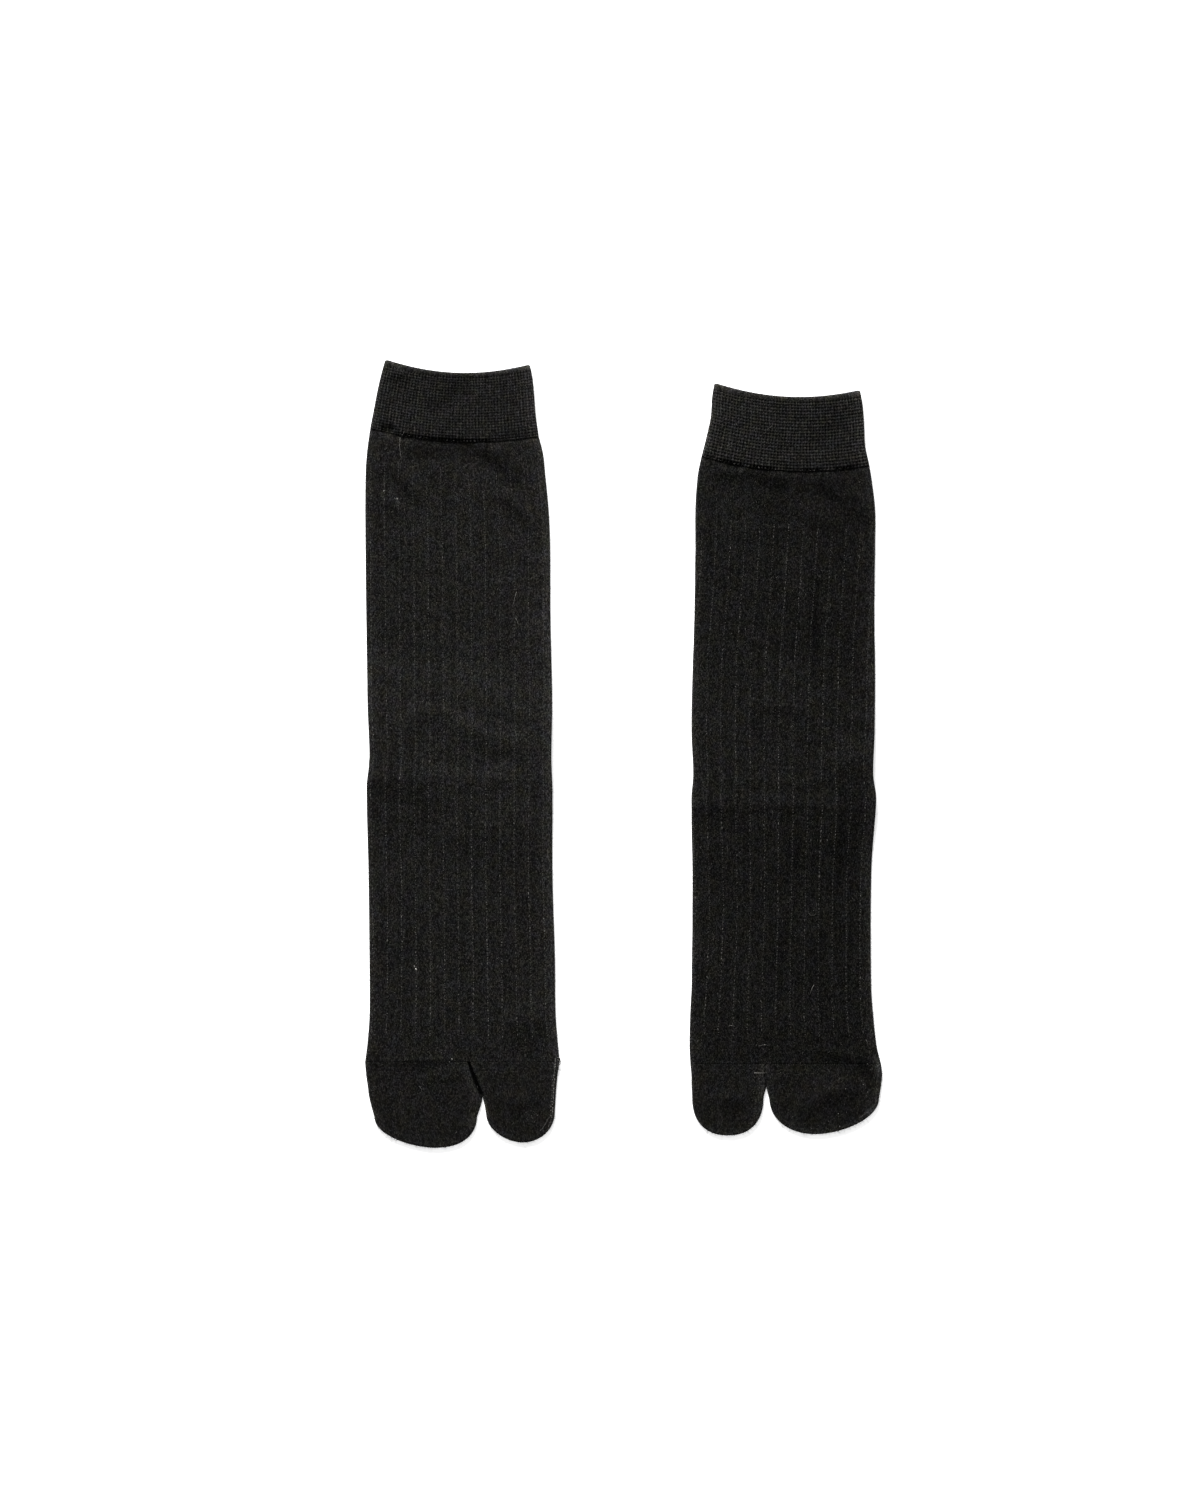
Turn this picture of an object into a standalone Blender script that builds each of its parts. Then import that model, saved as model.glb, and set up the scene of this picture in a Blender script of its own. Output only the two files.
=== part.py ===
"""A pair of knitted tabi socks, laid flat side by side with the instep up. Metres, +Z up.

+Y runs from the toes to the cuffs and z = 0 is the surface that the socks lie on. Each sock is a
flattened tube in five pieces: a cuff, the leg and foot, a heel pocket folded up under the leg, and
a pocket each for the big toe and the four outer toes. Every piece is a wall of cloth round a flat
hollow. The wearer's right sock lies at -X and the left one at +X, big toes facing each other.
"""

import math
from collections import namedtuple

import bmesh
import bpy

MM = 0.001

# Cloth, in metres.
WALL = 1.1 * MM  # one layer of fine sock knit
CUFF_WALL = 2.0 * MM  # the cuff is knitted double
HOLLOW = 0.5 * MM  # left between the front and the back when the tube is flat
SEAM_GAP = 0.3 * MM  # between neighbouring pieces
TUBE_HIGH = 2 * WALL + HOLLOW
CUFF_HIGH = 2 * CUFF_WALL + HOLLOW

# The leg rides over the folded heel pocket.
HEEL_LIFT = TUBE_HIGH + SEAM_GAP
RIDGE_HIGH = 0.7 * MM  # the cloth stands a little higher along the heel's fold
RIDGE_HALF = 5.0 * MM
TOP_STEP = 10.0 * MM  # how far before the fold the front layer starts to rise
UNDER_STEP = 4.0 * MM  # and the back layer
HEEL_POWER = 2.3  # superellipse power of the heel pocket's outline
HEEL_FADE_FROM = 1.14  # in pocket sizes, where the leg starts to come down again
HEEL_FADE_TO = 1.62

# Divisions round a section, on each flat side and on each rounded edge, and in each round tip.
TUBE_FLAT = 10
POCKET_FLAT = 7
EDGE_ROUND = 4
TIP_STEPS = 8
FOLD_ROWS = 5
HEEL_TOP_ROWS = 11
WELD = 1e-7

# A station across a tube, in millimetres. "along" is the Y of its side edges, "left" and "right"
# their X; "tilt" is how much further up the left edge lies, "dip" how far the middle sags.
Station = namedtuple("Station", "along left right tilt dip")
# A round tip: its reach past the last station, the sideways drift of its point, its roundness.
Tip = namedtuple("Tip", "reach drift power")
# A heel pocket: the Y of its fold, how deep it reaches under the leg, the drift of its point.
Heel = namedtuple("Heel", "fold depth drift")
Sock = namedtuple("Sock", "side cuff tube heel outer outer_tip big big_tip")

RIGHT = Sock(
    side="right",
    cuff=(
        Station(192.0, -116.8, -46.0, 2.7, 4.6),
        Station(187.0, -118.4, -44.8, 2.8, 4.6),
        Station(178.0, -120.5, -43.9, 3.0, 4.5),
        Station(169.0, -122.2, -43.2, 3.4, 4.4),
        Station(158.82, -124.2, -41.7, 3.9, 4.4),
    ),
    tube=(
        Station(158.4, -124.2, -41.7, 3.9, 4.4),
        Station(150.0, -125.5, -39.6, 3.3, 3.8),
        Station(140.0, -126.4, -38.6, 2.5, 2.9),
        Station(122.0, -126.7, -36.9, 1.4, 1.6),
        Station(104.0, -126.6, -36.1, 0.5, 0.6),
        Station(66.0, -125.8, -35.9, 0.0, 0.0),
        Station(25.0, -125.0, -35.0, 0.0, 0.0),
        Station(-2.0, -124.5, -35.4, 0.0, 0.0),
        Station(-17.0, -125.9, -34.9, 0.0, 0.0),
        Station(-58.0, -124.6, -34.9, 0.0, 0.0),
        Station(-100.0, -124.0, -33.9, 0.0, 0.0),
        Station(-127.0, -124.6, -33.4, 0.0, 0.0),
        Station(-141.0, -125.5, -32.4, 0.0, 0.0),
        Station(-151.5, -126.2, -31.4, 0.0, 0.0),
    ),
    heel=Heel(fold=-10.5, depth=35.0, drift=-7.0),
    outer=(
        Station(-151.8, -126.2, -76.1, 0.0, 0.0),
        Station(-158.0, -125.6, -73.7, 0.0, 0.0),
        Station(-163.0, -125.1, -71.9, 0.0, 0.0),
        Station(-167.2, -124.7, -70.5, 0.0, 0.0),
    ),
    outer_tip=Tip(reach=26.6, drift=5.6, power=2.35),
    big=(
        Station(-151.8, -75.76, -31.4, 0.0, 0.0),
        Station(-158.0, -73.4, -32.4, 0.0, 0.0),
        Station(-164.0, -71.2, -33.0, 0.0, 0.0),
        Station(-170.0, -68.7, -33.3, 0.0, 0.0),
    ),
    big_tip=Tip(reach=21.4, drift=1.6, power=2.25),
)

LEFT = Sock(
    side="left",
    cuff=(
        Station(180.0, 45.2, 116.5, 3.7, 4.3),
        Station(174.0, 44.1, 117.7, 3.8, 4.4),
        Station(164.0, 43.4, 118.5, 4.0, 4.6),
        Station(154.0, 41.3, 119.0, 4.2, 4.8),
        Station(144.84, 38.9, 121.1, 4.4, 4.9),
    ),
    tube=(
        Station(144.4, 38.9, 121.1, 4.4, 4.9),
        Station(136.0, 37.1, 122.4, 3.5, 4.2),
        Station(121.0, 35.9, 124.0, 2.2, 2.6),
        Station(100.0, 35.8, 123.9, 0.8, 1.0),
        Station(66.0, 35.3, 123.6, 0.0, 0.0),
        Station(38.0, 34.4, 124.0, 0.0, 0.0),
        Station(11.0, 33.9, 123.6, 0.0, 0.0),
        Station(-10.0, 34.7, 122.9, 0.0, 0.0),
        Station(-22.0, 33.8, 124.3, 0.0, 0.0),
        Station(-58.0, 34.4, 122.1, 0.0, 0.0),
        Station(-113.0, 34.0, 122.0, 0.0, 0.0),
        Station(-129.0, 33.3, 123.1, 0.0, 0.0),
        Station(-144.0, 33.0, 124.8, 0.0, 0.0),
        Station(-152.5, 33.4, 126.9, 0.0, 0.0),
    ),
    heel=Heel(fold=-24.0, depth=35.0, drift=-5.0),
    outer=(
        Station(-152.8, 70.1, 126.9, 0.0, 0.0),
        Station(-158.0, 70.3, 127.4, 0.0, 0.0),
        Station(-163.0, 70.9, 127.0, 0.0, 0.0),
    ),
    outer_tip=Tip(reach=24.5, drift=-2.9, power=2.1),
    big=(
        Station(-152.8, 33.4, 69.8, 0.0, 0.0),
        Station(-160.0, 33.9, 69.8, 0.0, 0.0),
        Station(-169.0, 34.3, 69.2, 0.0, 0.0),
    ),
    big_tip=Tip(reach=19.0, drift=0.0, power=2.5),
)


def slope(rows, index, column):
    """The outline's slope at a station, from its two neighbours."""
    before = rows[max(index - 1, 0)]
    after = rows[min(index + 1, len(rows) - 1)]
    return (getattr(after, column) - getattr(before, column)) / (after.along - before.along)


def read_column(rows, along, column):
    """A column of the stations at any Y, on a smooth curve through their values."""
    index = 0
    while index < len(rows) - 2 and rows[index + 1].along > along:
        index += 1
    start, end = rows[index], rows[index + 1]
    length = end.along - start.along
    t = min(max((along - start.along) / length, 0.0), 1.0)
    start_slope = slope(rows, index, column) * length
    end_slope = slope(rows, index + 1, column) * length
    return (
        (2 * t**3 - 3 * t**2 + 1) * getattr(start, column)
        + (t**3 - 2 * t**2 + t) * start_slope
        + (3 * t**2 - 2 * t**3) * getattr(end, column)
        + (t**3 - t**2) * end_slope
    )


def station_at(rows, along):
    return Station(along, *(read_column(rows, along, name) for name in Station._fields[1:]))


def smooth_step(t):
    t = min(max(t, 0.0), 1.0)
    return t * t * (3 - 2 * t)


def heel_centre(sock):
    base = station_at(sock.tube, sock.heel.fold)
    return (base.left + base.right) / 2, (base.right - base.left) / 2


def lift(sock, x, y, share):
    """How far the heel pocket under the tube lifts it. Share is 0 in the back layer, 1 in front."""
    centre, half = heel_centre(sock)
    up = (y - sock.heel.fold) / sock.heel.depth
    if up < 0:
        inside = 1.0
    else:
        across = abs(x - centre - sock.heel.drift * up**2) / half
        reach = (across**HEEL_POWER + up**HEEL_POWER) ** (1 / HEEL_POWER)
        inside = 1 - smooth_step((reach - HEEL_FADE_FROM) / (HEEL_FADE_TO - HEEL_FADE_FROM))
    from_fold = (y - sock.heel.fold) * MM
    step = UNDER_STEP + (TOP_STEP - UNDER_STEP) * share
    risen = smooth_step(1 + from_fold / step)
    ridge = RIDGE_HIGH * math.exp(-((from_fold / RIDGE_HALF) ** 2))
    return (HEEL_LIFT * inside + ridge) * risen


def section(left, right, low, high, flat):
    """(x, z) round a flattened tube: over the top, round an edge, back underneath and round."""
    radius = (high - low) / 2
    middle = (high + low) / 2
    start = left + radius
    end = right - radius
    points = []
    for i in range(flat):
        points.append((start + (end - start) * i / flat, high))
    for i in range(EDGE_ROUND):
        angle = math.pi * i / EDGE_ROUND
        points.append((end + radius * math.sin(angle), middle + radius * math.cos(angle)))
    for i in range(flat):
        points.append((end + (start - end) * i / flat, low))
    for i in range(EDGE_ROUND):
        angle = math.pi * i / EDGE_ROUND
        points.append((start - radius * math.sin(angle), middle - radius * math.cos(angle)))
    return points


def ring(station, inset, low, high, flat, lifted):
    """The points of one section, drawn in from the side edges by inset, all in metres."""
    left = station.left * MM + inset
    right = station.right * MM - inset
    points = []
    for x, z in section(left, right, low, high, flat):
        across = min(max((x - left) / (right - left), 0.0), 1.0)
        bow = station.tilt * (0.5 - across) - station.dip * 4 * across * (1 - across)
        y = (station.along + bow) * MM
        share = (z - low) / (high - low)
        points.append((x, y, z + lifted(x / MM, y / MM, share)))
    return points


def no_lift(x, y, share):
    return 0.0


def mesh_object(name, rings, ends_meet, material):
    """One closed body through the rings. Rings of one point close a pocket's tips."""
    around = len(rings[0])
    if ends_meet:
        rings = rings + rings[:1]
    bm = bmesh.new()
    bmesh.ops.create_grid(bm, x_segments=around, y_segments=len(rings) - 1, size=1)
    for vert in bm.verts:
        column = round((vert.co.x + 1) / 2 * around)
        row = round((vert.co.y + 1) / 2 * (len(rings) - 1))
        vert.co = rings[row][column % around]
    bmesh.ops.remove_doubles(bm, verts=bm.verts, dist=WELD)
    bmesh.ops.recalc_face_normals(bm, faces=bm.faces)
    mesh = bpy.data.meshes.new(name)
    bm.to_mesh(mesh)
    bm.free()
    mesh.shade_smooth()
    mesh.set_sharp_from_angle(angle=math.radians(50))
    mesh.materials.append(material)
    obj = bpy.data.objects.new(name, mesh)
    bpy.context.collection.objects.link(obj)
    return obj


def open_tube(name, rows, wall, high, lifted, material):
    """A flattened tube, open at both ends: its outside down, then its inside back up."""
    outside = [ring(row, 0, 0, high, TUBE_FLAT, lifted) for row in rows]
    inside = [ring(row, wall, wall, high - wall, TUBE_FLAT, lifted) for row in reversed(rows)]
    return mesh_object(name, outside + inside, True, material)


def pocket_side(rows, tip, inset, low, high, towards):
    """The rings of one side of a pocket's wall, from its mouth to the point of its tip."""
    rings = [ring(row, inset, low, high, POCKET_FLAT, no_lift) for row in rows]
    last = rows[-1]
    centre = (last.left + last.right) / 2
    half = (last.right - last.left) / 2 - inset / MM
    reach = tip.reach - inset / MM
    radius = (high - low) / 2
    middle = (high + low) / 2
    for step in range(1, TIP_STEPS):
        angle = math.pi / 2 * step / TIP_STEPS
        gone = math.sin(angle)
        narrow = half * math.cos(angle) ** (2 / tip.power)
        moved = centre + tip.drift * gone**2
        to_point = min(reach * (1 - gone) * MM / radius, 1.0)
        thick = radius * math.sqrt(1 - (1 - to_point) ** 2)
        row = Station(last.along + towards * reach * gone, moved - narrow, moved + narrow, 0, 0)
        rings.append(ring(row, 0, middle - thick, middle + thick, POCKET_FLAT, no_lift))
    point = ((centre + tip.drift) * MM, (last.along + towards * reach) * MM, middle)
    rings.append([point] * len(rings[0]))
    return rings


def pocket(name, rows, tip, towards, material):
    """A flattened pocket, open at its mouth, its tip reaching up or down the Y axis."""
    outside = pocket_side(rows, tip, 0, 0, TUBE_HIGH, towards)
    inside = pocket_side(rows, tip, WALL, WALL, TUBE_HIGH - WALL, towards)
    return mesh_object(name, outside[::-1] + inside, False, material)


def tube_rows(sock):
    """The tube's stations, with closer ones where it climbs over the folded heel."""
    heel = sock.heel
    top = heel.fold + heel.depth * HEEL_FADE_TO
    step = TOP_STEP / MM / FOLD_ROWS
    spacing = (top - heel.fold) / HEEL_TOP_ROWS
    close = [heel.fold - step * i for i in range(FOLD_ROWS + 1)]
    close += [heel.fold + spacing * i for i in range(1, HEEL_TOP_ROWS + 1)]
    kept = [row for row in sock.tube if not min(close) - step < row.along < top + step]
    added = [station_at(sock.tube, along) for along in close]
    return sorted(kept + added, key=lambda row: -row.along)


def heel_rows(sock):
    """The heel pocket's straight start, from its mouth at the fold."""
    mouth = sock.heel.fold + SEAM_GAP / MM
    row = station_at(sock.tube, mouth)
    inset = SEAM_GAP / MM
    return (Station(mouth, row.left + inset, row.right - inset, 0, 0),)


def build_sock(sock, materials):
    def lifted(x, y, share):
        return lift(sock, x, y, share)

    knit, rib, toe = materials
    open_tube(f"{sock.side}_cuff", sock.cuff, CUFF_WALL, CUFF_HIGH, no_lift, rib)
    open_tube(f"{sock.side}_body", tube_rows(sock), WALL, TUBE_HIGH, lifted, knit)
    heel_tip = Tip(sock.heel.depth - SEAM_GAP / MM, sock.heel.drift, HEEL_POWER)
    pocket(f"{sock.side}_heel", heel_rows(sock), heel_tip, 1, knit)
    pocket(f"{sock.side}_outer_toes", sock.outer, sock.outer_tip, -1, toe)
    pocket(f"{sock.side}_big_toe", sock.big, sock.big_tip, -1, toe)


def cloth(name, colour, roughness):
    material = bpy.data.materials.new(name)
    material.use_nodes = True
    shader = material.node_tree.nodes["Principled BSDF"]
    shader.inputs["Base Color"].default_value = (*colour, 1)
    shader.inputs["Roughness"].default_value = roughness
    shader.inputs["Metallic"].default_value = 0
    return material


def main():
    for obj in list(bpy.data.objects):
        bpy.data.objects.remove(obj, do_unlink=True)
    materials = (
        cloth("striped_knit", (0.013, 0.013, 0.012), 0.92),
        cloth("rib_knit", (0.015, 0.015, 0.014), 0.95),
        cloth("toe_knit", (0.011, 0.011, 0.011), 0.9),
    )
    for sock in (RIGHT, LEFT):
        build_sock(sock, materials)


main()
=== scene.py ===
"""The finish of a pair of fine-knit tabi socks, laid flat side by side with the instep up.

Metres, +Z up. +Y runs from the toes to the cuffs, and z = 0 is the surface that the socks lie on.
Each sock is a cuff in a waffle rib, a leg and foot with dotted pinstripes, a heel pocket folded
under the leg and a pocket each for the outer toes and the big toe. Sizes in the tables are in mm.
"""

import math
import random
from collections import namedtuple

import bmesh
import bpy
import numpy as np
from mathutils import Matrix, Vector
from mathutils.bvhtree import BVHTree


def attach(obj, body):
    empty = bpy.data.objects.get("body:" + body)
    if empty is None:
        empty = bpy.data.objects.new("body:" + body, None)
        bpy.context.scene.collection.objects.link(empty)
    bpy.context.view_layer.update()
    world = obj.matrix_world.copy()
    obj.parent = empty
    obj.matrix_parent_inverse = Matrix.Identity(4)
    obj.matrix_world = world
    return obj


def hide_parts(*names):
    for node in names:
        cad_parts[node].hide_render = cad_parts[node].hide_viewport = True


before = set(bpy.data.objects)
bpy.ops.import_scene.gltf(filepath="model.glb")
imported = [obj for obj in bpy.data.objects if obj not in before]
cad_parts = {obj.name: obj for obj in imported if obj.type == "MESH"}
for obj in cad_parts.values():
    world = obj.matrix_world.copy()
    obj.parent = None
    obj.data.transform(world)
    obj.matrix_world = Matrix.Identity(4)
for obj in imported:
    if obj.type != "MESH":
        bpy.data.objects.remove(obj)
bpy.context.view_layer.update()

MM = 0.001

# Cloth. The knit stands out from the plain solid at its sides.
WALL = 1.1
CUFF_WALL = 2.0
HOLLOW = 0.5
TUBE_HIGH = 2 * WALL + HOLLOW
CUFF_HIGH = 2 * CUFF_WALL + HOLLOW
SEAM_GAP = 0.3
PROUD = 0.25

# Knit. Wales run up the sock, courses round it, and every eighth wale is a pinstripe.
WALES = 208
WALE_WIDE = 0.88
WALE_DEEP = 0.13
COURSE = 0.66
STRIPE_WALES = 8
FIRST_STRIPE = 4
STRIPE_HALF = 0.45
STRIPE_FADE = 6
STRIPE_END_FADE = 2

# Rows and columns of the meshes. The short lists are distances in mm from a seam or an edge.
BODY_ROWS = 158
INNER_ROWS = 16
SEAM_ROWS = np.array([0.0, 0.35, 0.7, 1.1, 1.6, 2.2, 3.0, 4.0, 5.2])
CUFF_INNER_ROWS = 8
CELL_STEPS = 4
RIM_STEPS = 6
LOBE_ROWS = 34
LOBE_INNER_ROWS = 8
EDGE_ROWS = np.array([0.0, 0.06, 0.2, 0.45, 0.8, 1.35, 2.2])
EDGE_ROWS_FULL = 5.0
SIDE_COLUMNS = np.array([0.02, 0.09, 0.22])
FOLD_STEPS = 10

# The cuff's waffle: pits between the wales, and between small bars across them.
CUFF_CELLS = 104
PIT_DEEP = 0.85
PIT_WIDE = 1.3
PIT_LONG = 1.2
WAFFLE_SHORT = 2.5
WAFFLE_FROM_SEAM = 0.6
WAFFLE_TO_TOP = 1.6
WAFFLE_TOP_FADE = 0.9
RIM = CUFF_WALL / 2
RIM_PROUD = 0.12
RIM_SCALLOP = 0.10

# The folded heel under the leg, and the step that it makes in the front and the back layer.
HEEL_LIFT = TUBE_HIGH + SEAM_GAP
RIDGE_HIGH = 0.45
RIDGE_HALF = 5.0
TOP_STEP = 24.0
UNDER_STEP = 1.8
HEEL_START = 1.7
HEEL_POWER = 2.3
HEEL_SOFTER = 1.7
HEEL_FADE_FROM = 1.1
HEEL_BACK_FROM = 1.0
HEEL_BACK_TO = 1.3

# How the front layer stands up from the back one.
PUFF = 0.8
PUFF_EDGE = 8.0
PUFF_TOE_FADE = 22.0
CUFF_PUFF = 0.9
CUFF_PUFF_EDGE = 10.0
LOBE_DOME = 0.5
LOBE_RISE = 12.0
LOBE_EDGE = 6
LOBE_SWELL = 0.6
SLOW_SWELL = 0.26
QUICK_SWELL = 0.12
FOLD_EDGE = 4.0
FOLD_GAIN = 1.25
FOLD_TAPER = 0.7
BACK_FOLD_PART = 0.5
LOWEST = -0.25
SETTLE_SHARP = 4
FURROW_EDGE = 2.0

# The seam under the cuff: a groove, pulled deep in places, with the leg bulging below it.
# Where it isn't pulled, the leg lies almost flush with the cuff.
GROOVE_DEEP = 0.2
GROOVE_HALF = 0.85
GROOVE_FULL = 1.5
GROOVE_DRAG = 0.3
PULLED = 0.8
BULGE = 1.2
BULGE_START = 6.0
BULGE_QUICK = 2.4
BULGE_FADE = 26.0
BULGE_TIGHT = 0.6
BULGE_TIGHT_FADE = 10.0
BULGE_SIDES = 0.6
SEAM_FLUSH = 0.36
CUFF_SINK = 0.6
CUFF_SINK_OVER = 5.0
CUFF_SINK_TIGHT = 0.8
EDGE_SINK = 0.6
GATHER_HIGH = 0.22
GATHER_WIDE = 1.9
GATHER_DRIFT = 7.0
GATHER_FADE = 7.0
GATHER_START = 2.0

# The slit between the toe pockets: painted dark, and the painted shade narrow where it opens.
SLIT_HALF = 1.05
SLIT_TIP = 0.45
SLIT_OPENS = 7.0
SLIT_END = 2
SLIT_PRESS = 1.6
SLIT_PAST = 2.0
SLIT_UPPER = 0.8

# Painted shade: how much darker each low place is painted, as a share, for the light it misses.
FURROW_PAINTED_SHADE = 0.3
WAFFLE_PAINTED_SHADE = 0.66
GROOVE_PAINTED_SHADE = 0.2
BEAD_PAINTED_SHADE = 0.6
BEAD_CHANGE = 0.4
TICK_LONG = 1.3
TICK_PAINTED_SHADE = 0.6
TICK_LEVEL = 0.9
TICK_SHARP = 1.4

# Painted light: the strength of the painted strokes, and the painted highlight along the edges,
# where the fuzz catches the light.
PAINTED_STROKE_PART = 0.62
PALE_LEFT = 0.9
PALE_RIGHT = 1.35
PALE_TOP = 0.5
PALE_TOES = 1.9
PALE_OVER_LEFT = 1.3
PALE_OVER_RIGHT = 2.6
PALE_OVER_TOP = 1.2

# The yarn's mottle. Parts are how much a pattern changes the tone, and fine is its scale.
HEATHER = (0.3, 0.15, 0.77)
HEATHER_FINE = 180.0
FUZZ_FINE = 2350.0
FUZZ_RELIEF = 0.5
GRAIN_RELIEF = 0.35
CLOUD_FINE = 60.0
CLOUD_PART = 0.26
STREAK_FINE = 0.45
STREAK_SHORTER = 0.02
STREAK_PART = 0.66
STITCH_PART = 0.42
STITCH_ROUND = 0.6
LOOP_CHANGE = 0.7
LOOP_LEAST = 0.3
ROUGH_MOST = 0.95
ROUGH_CHANGE = 0.12
STITCH_RELIEF = 0.0003
TWIST_RELIEF = 0.0001
TWIST_FINE = 2600.0
THREAD_CONTRAST = 1.6
SHEEN = 0.04

# The dashes of the pinstripes and the gaps between them, in courses, the half width and height of
# a dash, and the Y from which their growth counts.
DASHES = (0.6, 0.7, 0.8, 0.9, 1.0, 1.2, 1.7, 2.6)
GAPS = (0.5, 0.6, 0.8, 1, 1, 1.3, 2, 3)
DASH_HALF = 0.21
DASH_HIGH = 0.13
GROWTH_FROM = 40.0

# Stitches and loose fibres.
STITCH_ASTRAY = 0.16
STITCH_SHAPE = (0.42, 0.75, 0.3)
NAP_FIBRES = 1900
NAP_TONES = (0.12, 0.16, 0.2, 0.26, 0.34, 0.45)
EDGE_FIBRES = 1500
END_SHARE = 0.3
LONGEST_FIBRE = 2.6
HAIR_UP = 0.1
HAIR_OUT = 0.2
STRAND_LOWEST = 0.02
STRAND_TAPER = 0.6
ANY_WAY = np.array([0.31, 0.17, 0.93])

# Where rays start that look for the cloth, in metres, and a level beside its edge.
HIGH_UP = 0.05
EDGE_LEVEL = 0.0015
DOWN = Vector((0, 0, -1))

Station = namedtuple("Station", "along left right tilt dip", defaults=(0.0, 0.0))
Tip = namedtuple("Tip", "reach drift power")
# The front slopes down more softly below the heel's fold round one X, for half a width each way.
# Fade is how far out from the pocket its lift still shows, in pocket sizes.
Heel = namedtuple("Heel", "fold depth drift fade soft_at soft_half")
# How the wales lie at a Y: shift sideways in wales, spread of the front ones.
Lean = namedtuple("Lean", "along shift spread")
# The cuff's cells: their height, and how deep the wale between two pits is, as a share.
Rib = namedtuple("Rib", "cell_high between")
# A soft fold from start over bend to end: half is its half width, high its height, negative for
# a trough.
Fold = namedtuple("Fold", "start bend end half high")
# A soft stroke of painted light (high above 0) or painted shade (below 0) on the cloth.
Cast = namedtuple("Cast", "start bend end half high")
# Where the cuff's seam pulls down deepest, between the shallow parts of its groove.
Pull = namedtuple("Pull", "middle half deep")
# How dark each part of the cloth is painted: 1 is the plain yarn. Faded is painted light: how much
# lighter the left side is painted, and darker the right, than the middle. Rim is how strong the
# painted highlight along the sides is, where the fuzz catches the light.
Dye = namedtuple("Dye", "cuff leg toes faded rim")
# Where the two toe pockets lie against each other: how far their upper edges stand apart, how
# dark the painted shade between them is, and for how many mm.
Slit = namedtuple("Slit", "apart dark long")
# Growth is how much stronger the pinstripes get for each mm towards the toes.
Sock = namedtuple(
    "Sock",
    "side cuff rib tube heel outer outer_tip big big_tip leans folds back_folds casts pulls"
    " stripe_top stripe_end stripe_growth dye slit",
)
# A knitted pocket: the stations of its straight part, its tip, 1 or -1 for the way along Y that it
# runs, and slit, 1 or -1 where its right or left side lies close against the other toe pocket.
Pocket = namedtuple("Pocket", "name rows tip towards raised dye slit")

# Things on the surface. Tone runs from 0, black, to 1, white.
# A row of stitches: beads every step, of a size, from start over bend to end.
Stitches = namedtuple("Stitches", "start bend end step size tone")
# A loose end or a hair: thick at its root.
Hair = namedtuple("Hair", "start bend end thick tone")
Speck = namedtuple("Speck", "x y size tone")

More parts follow.
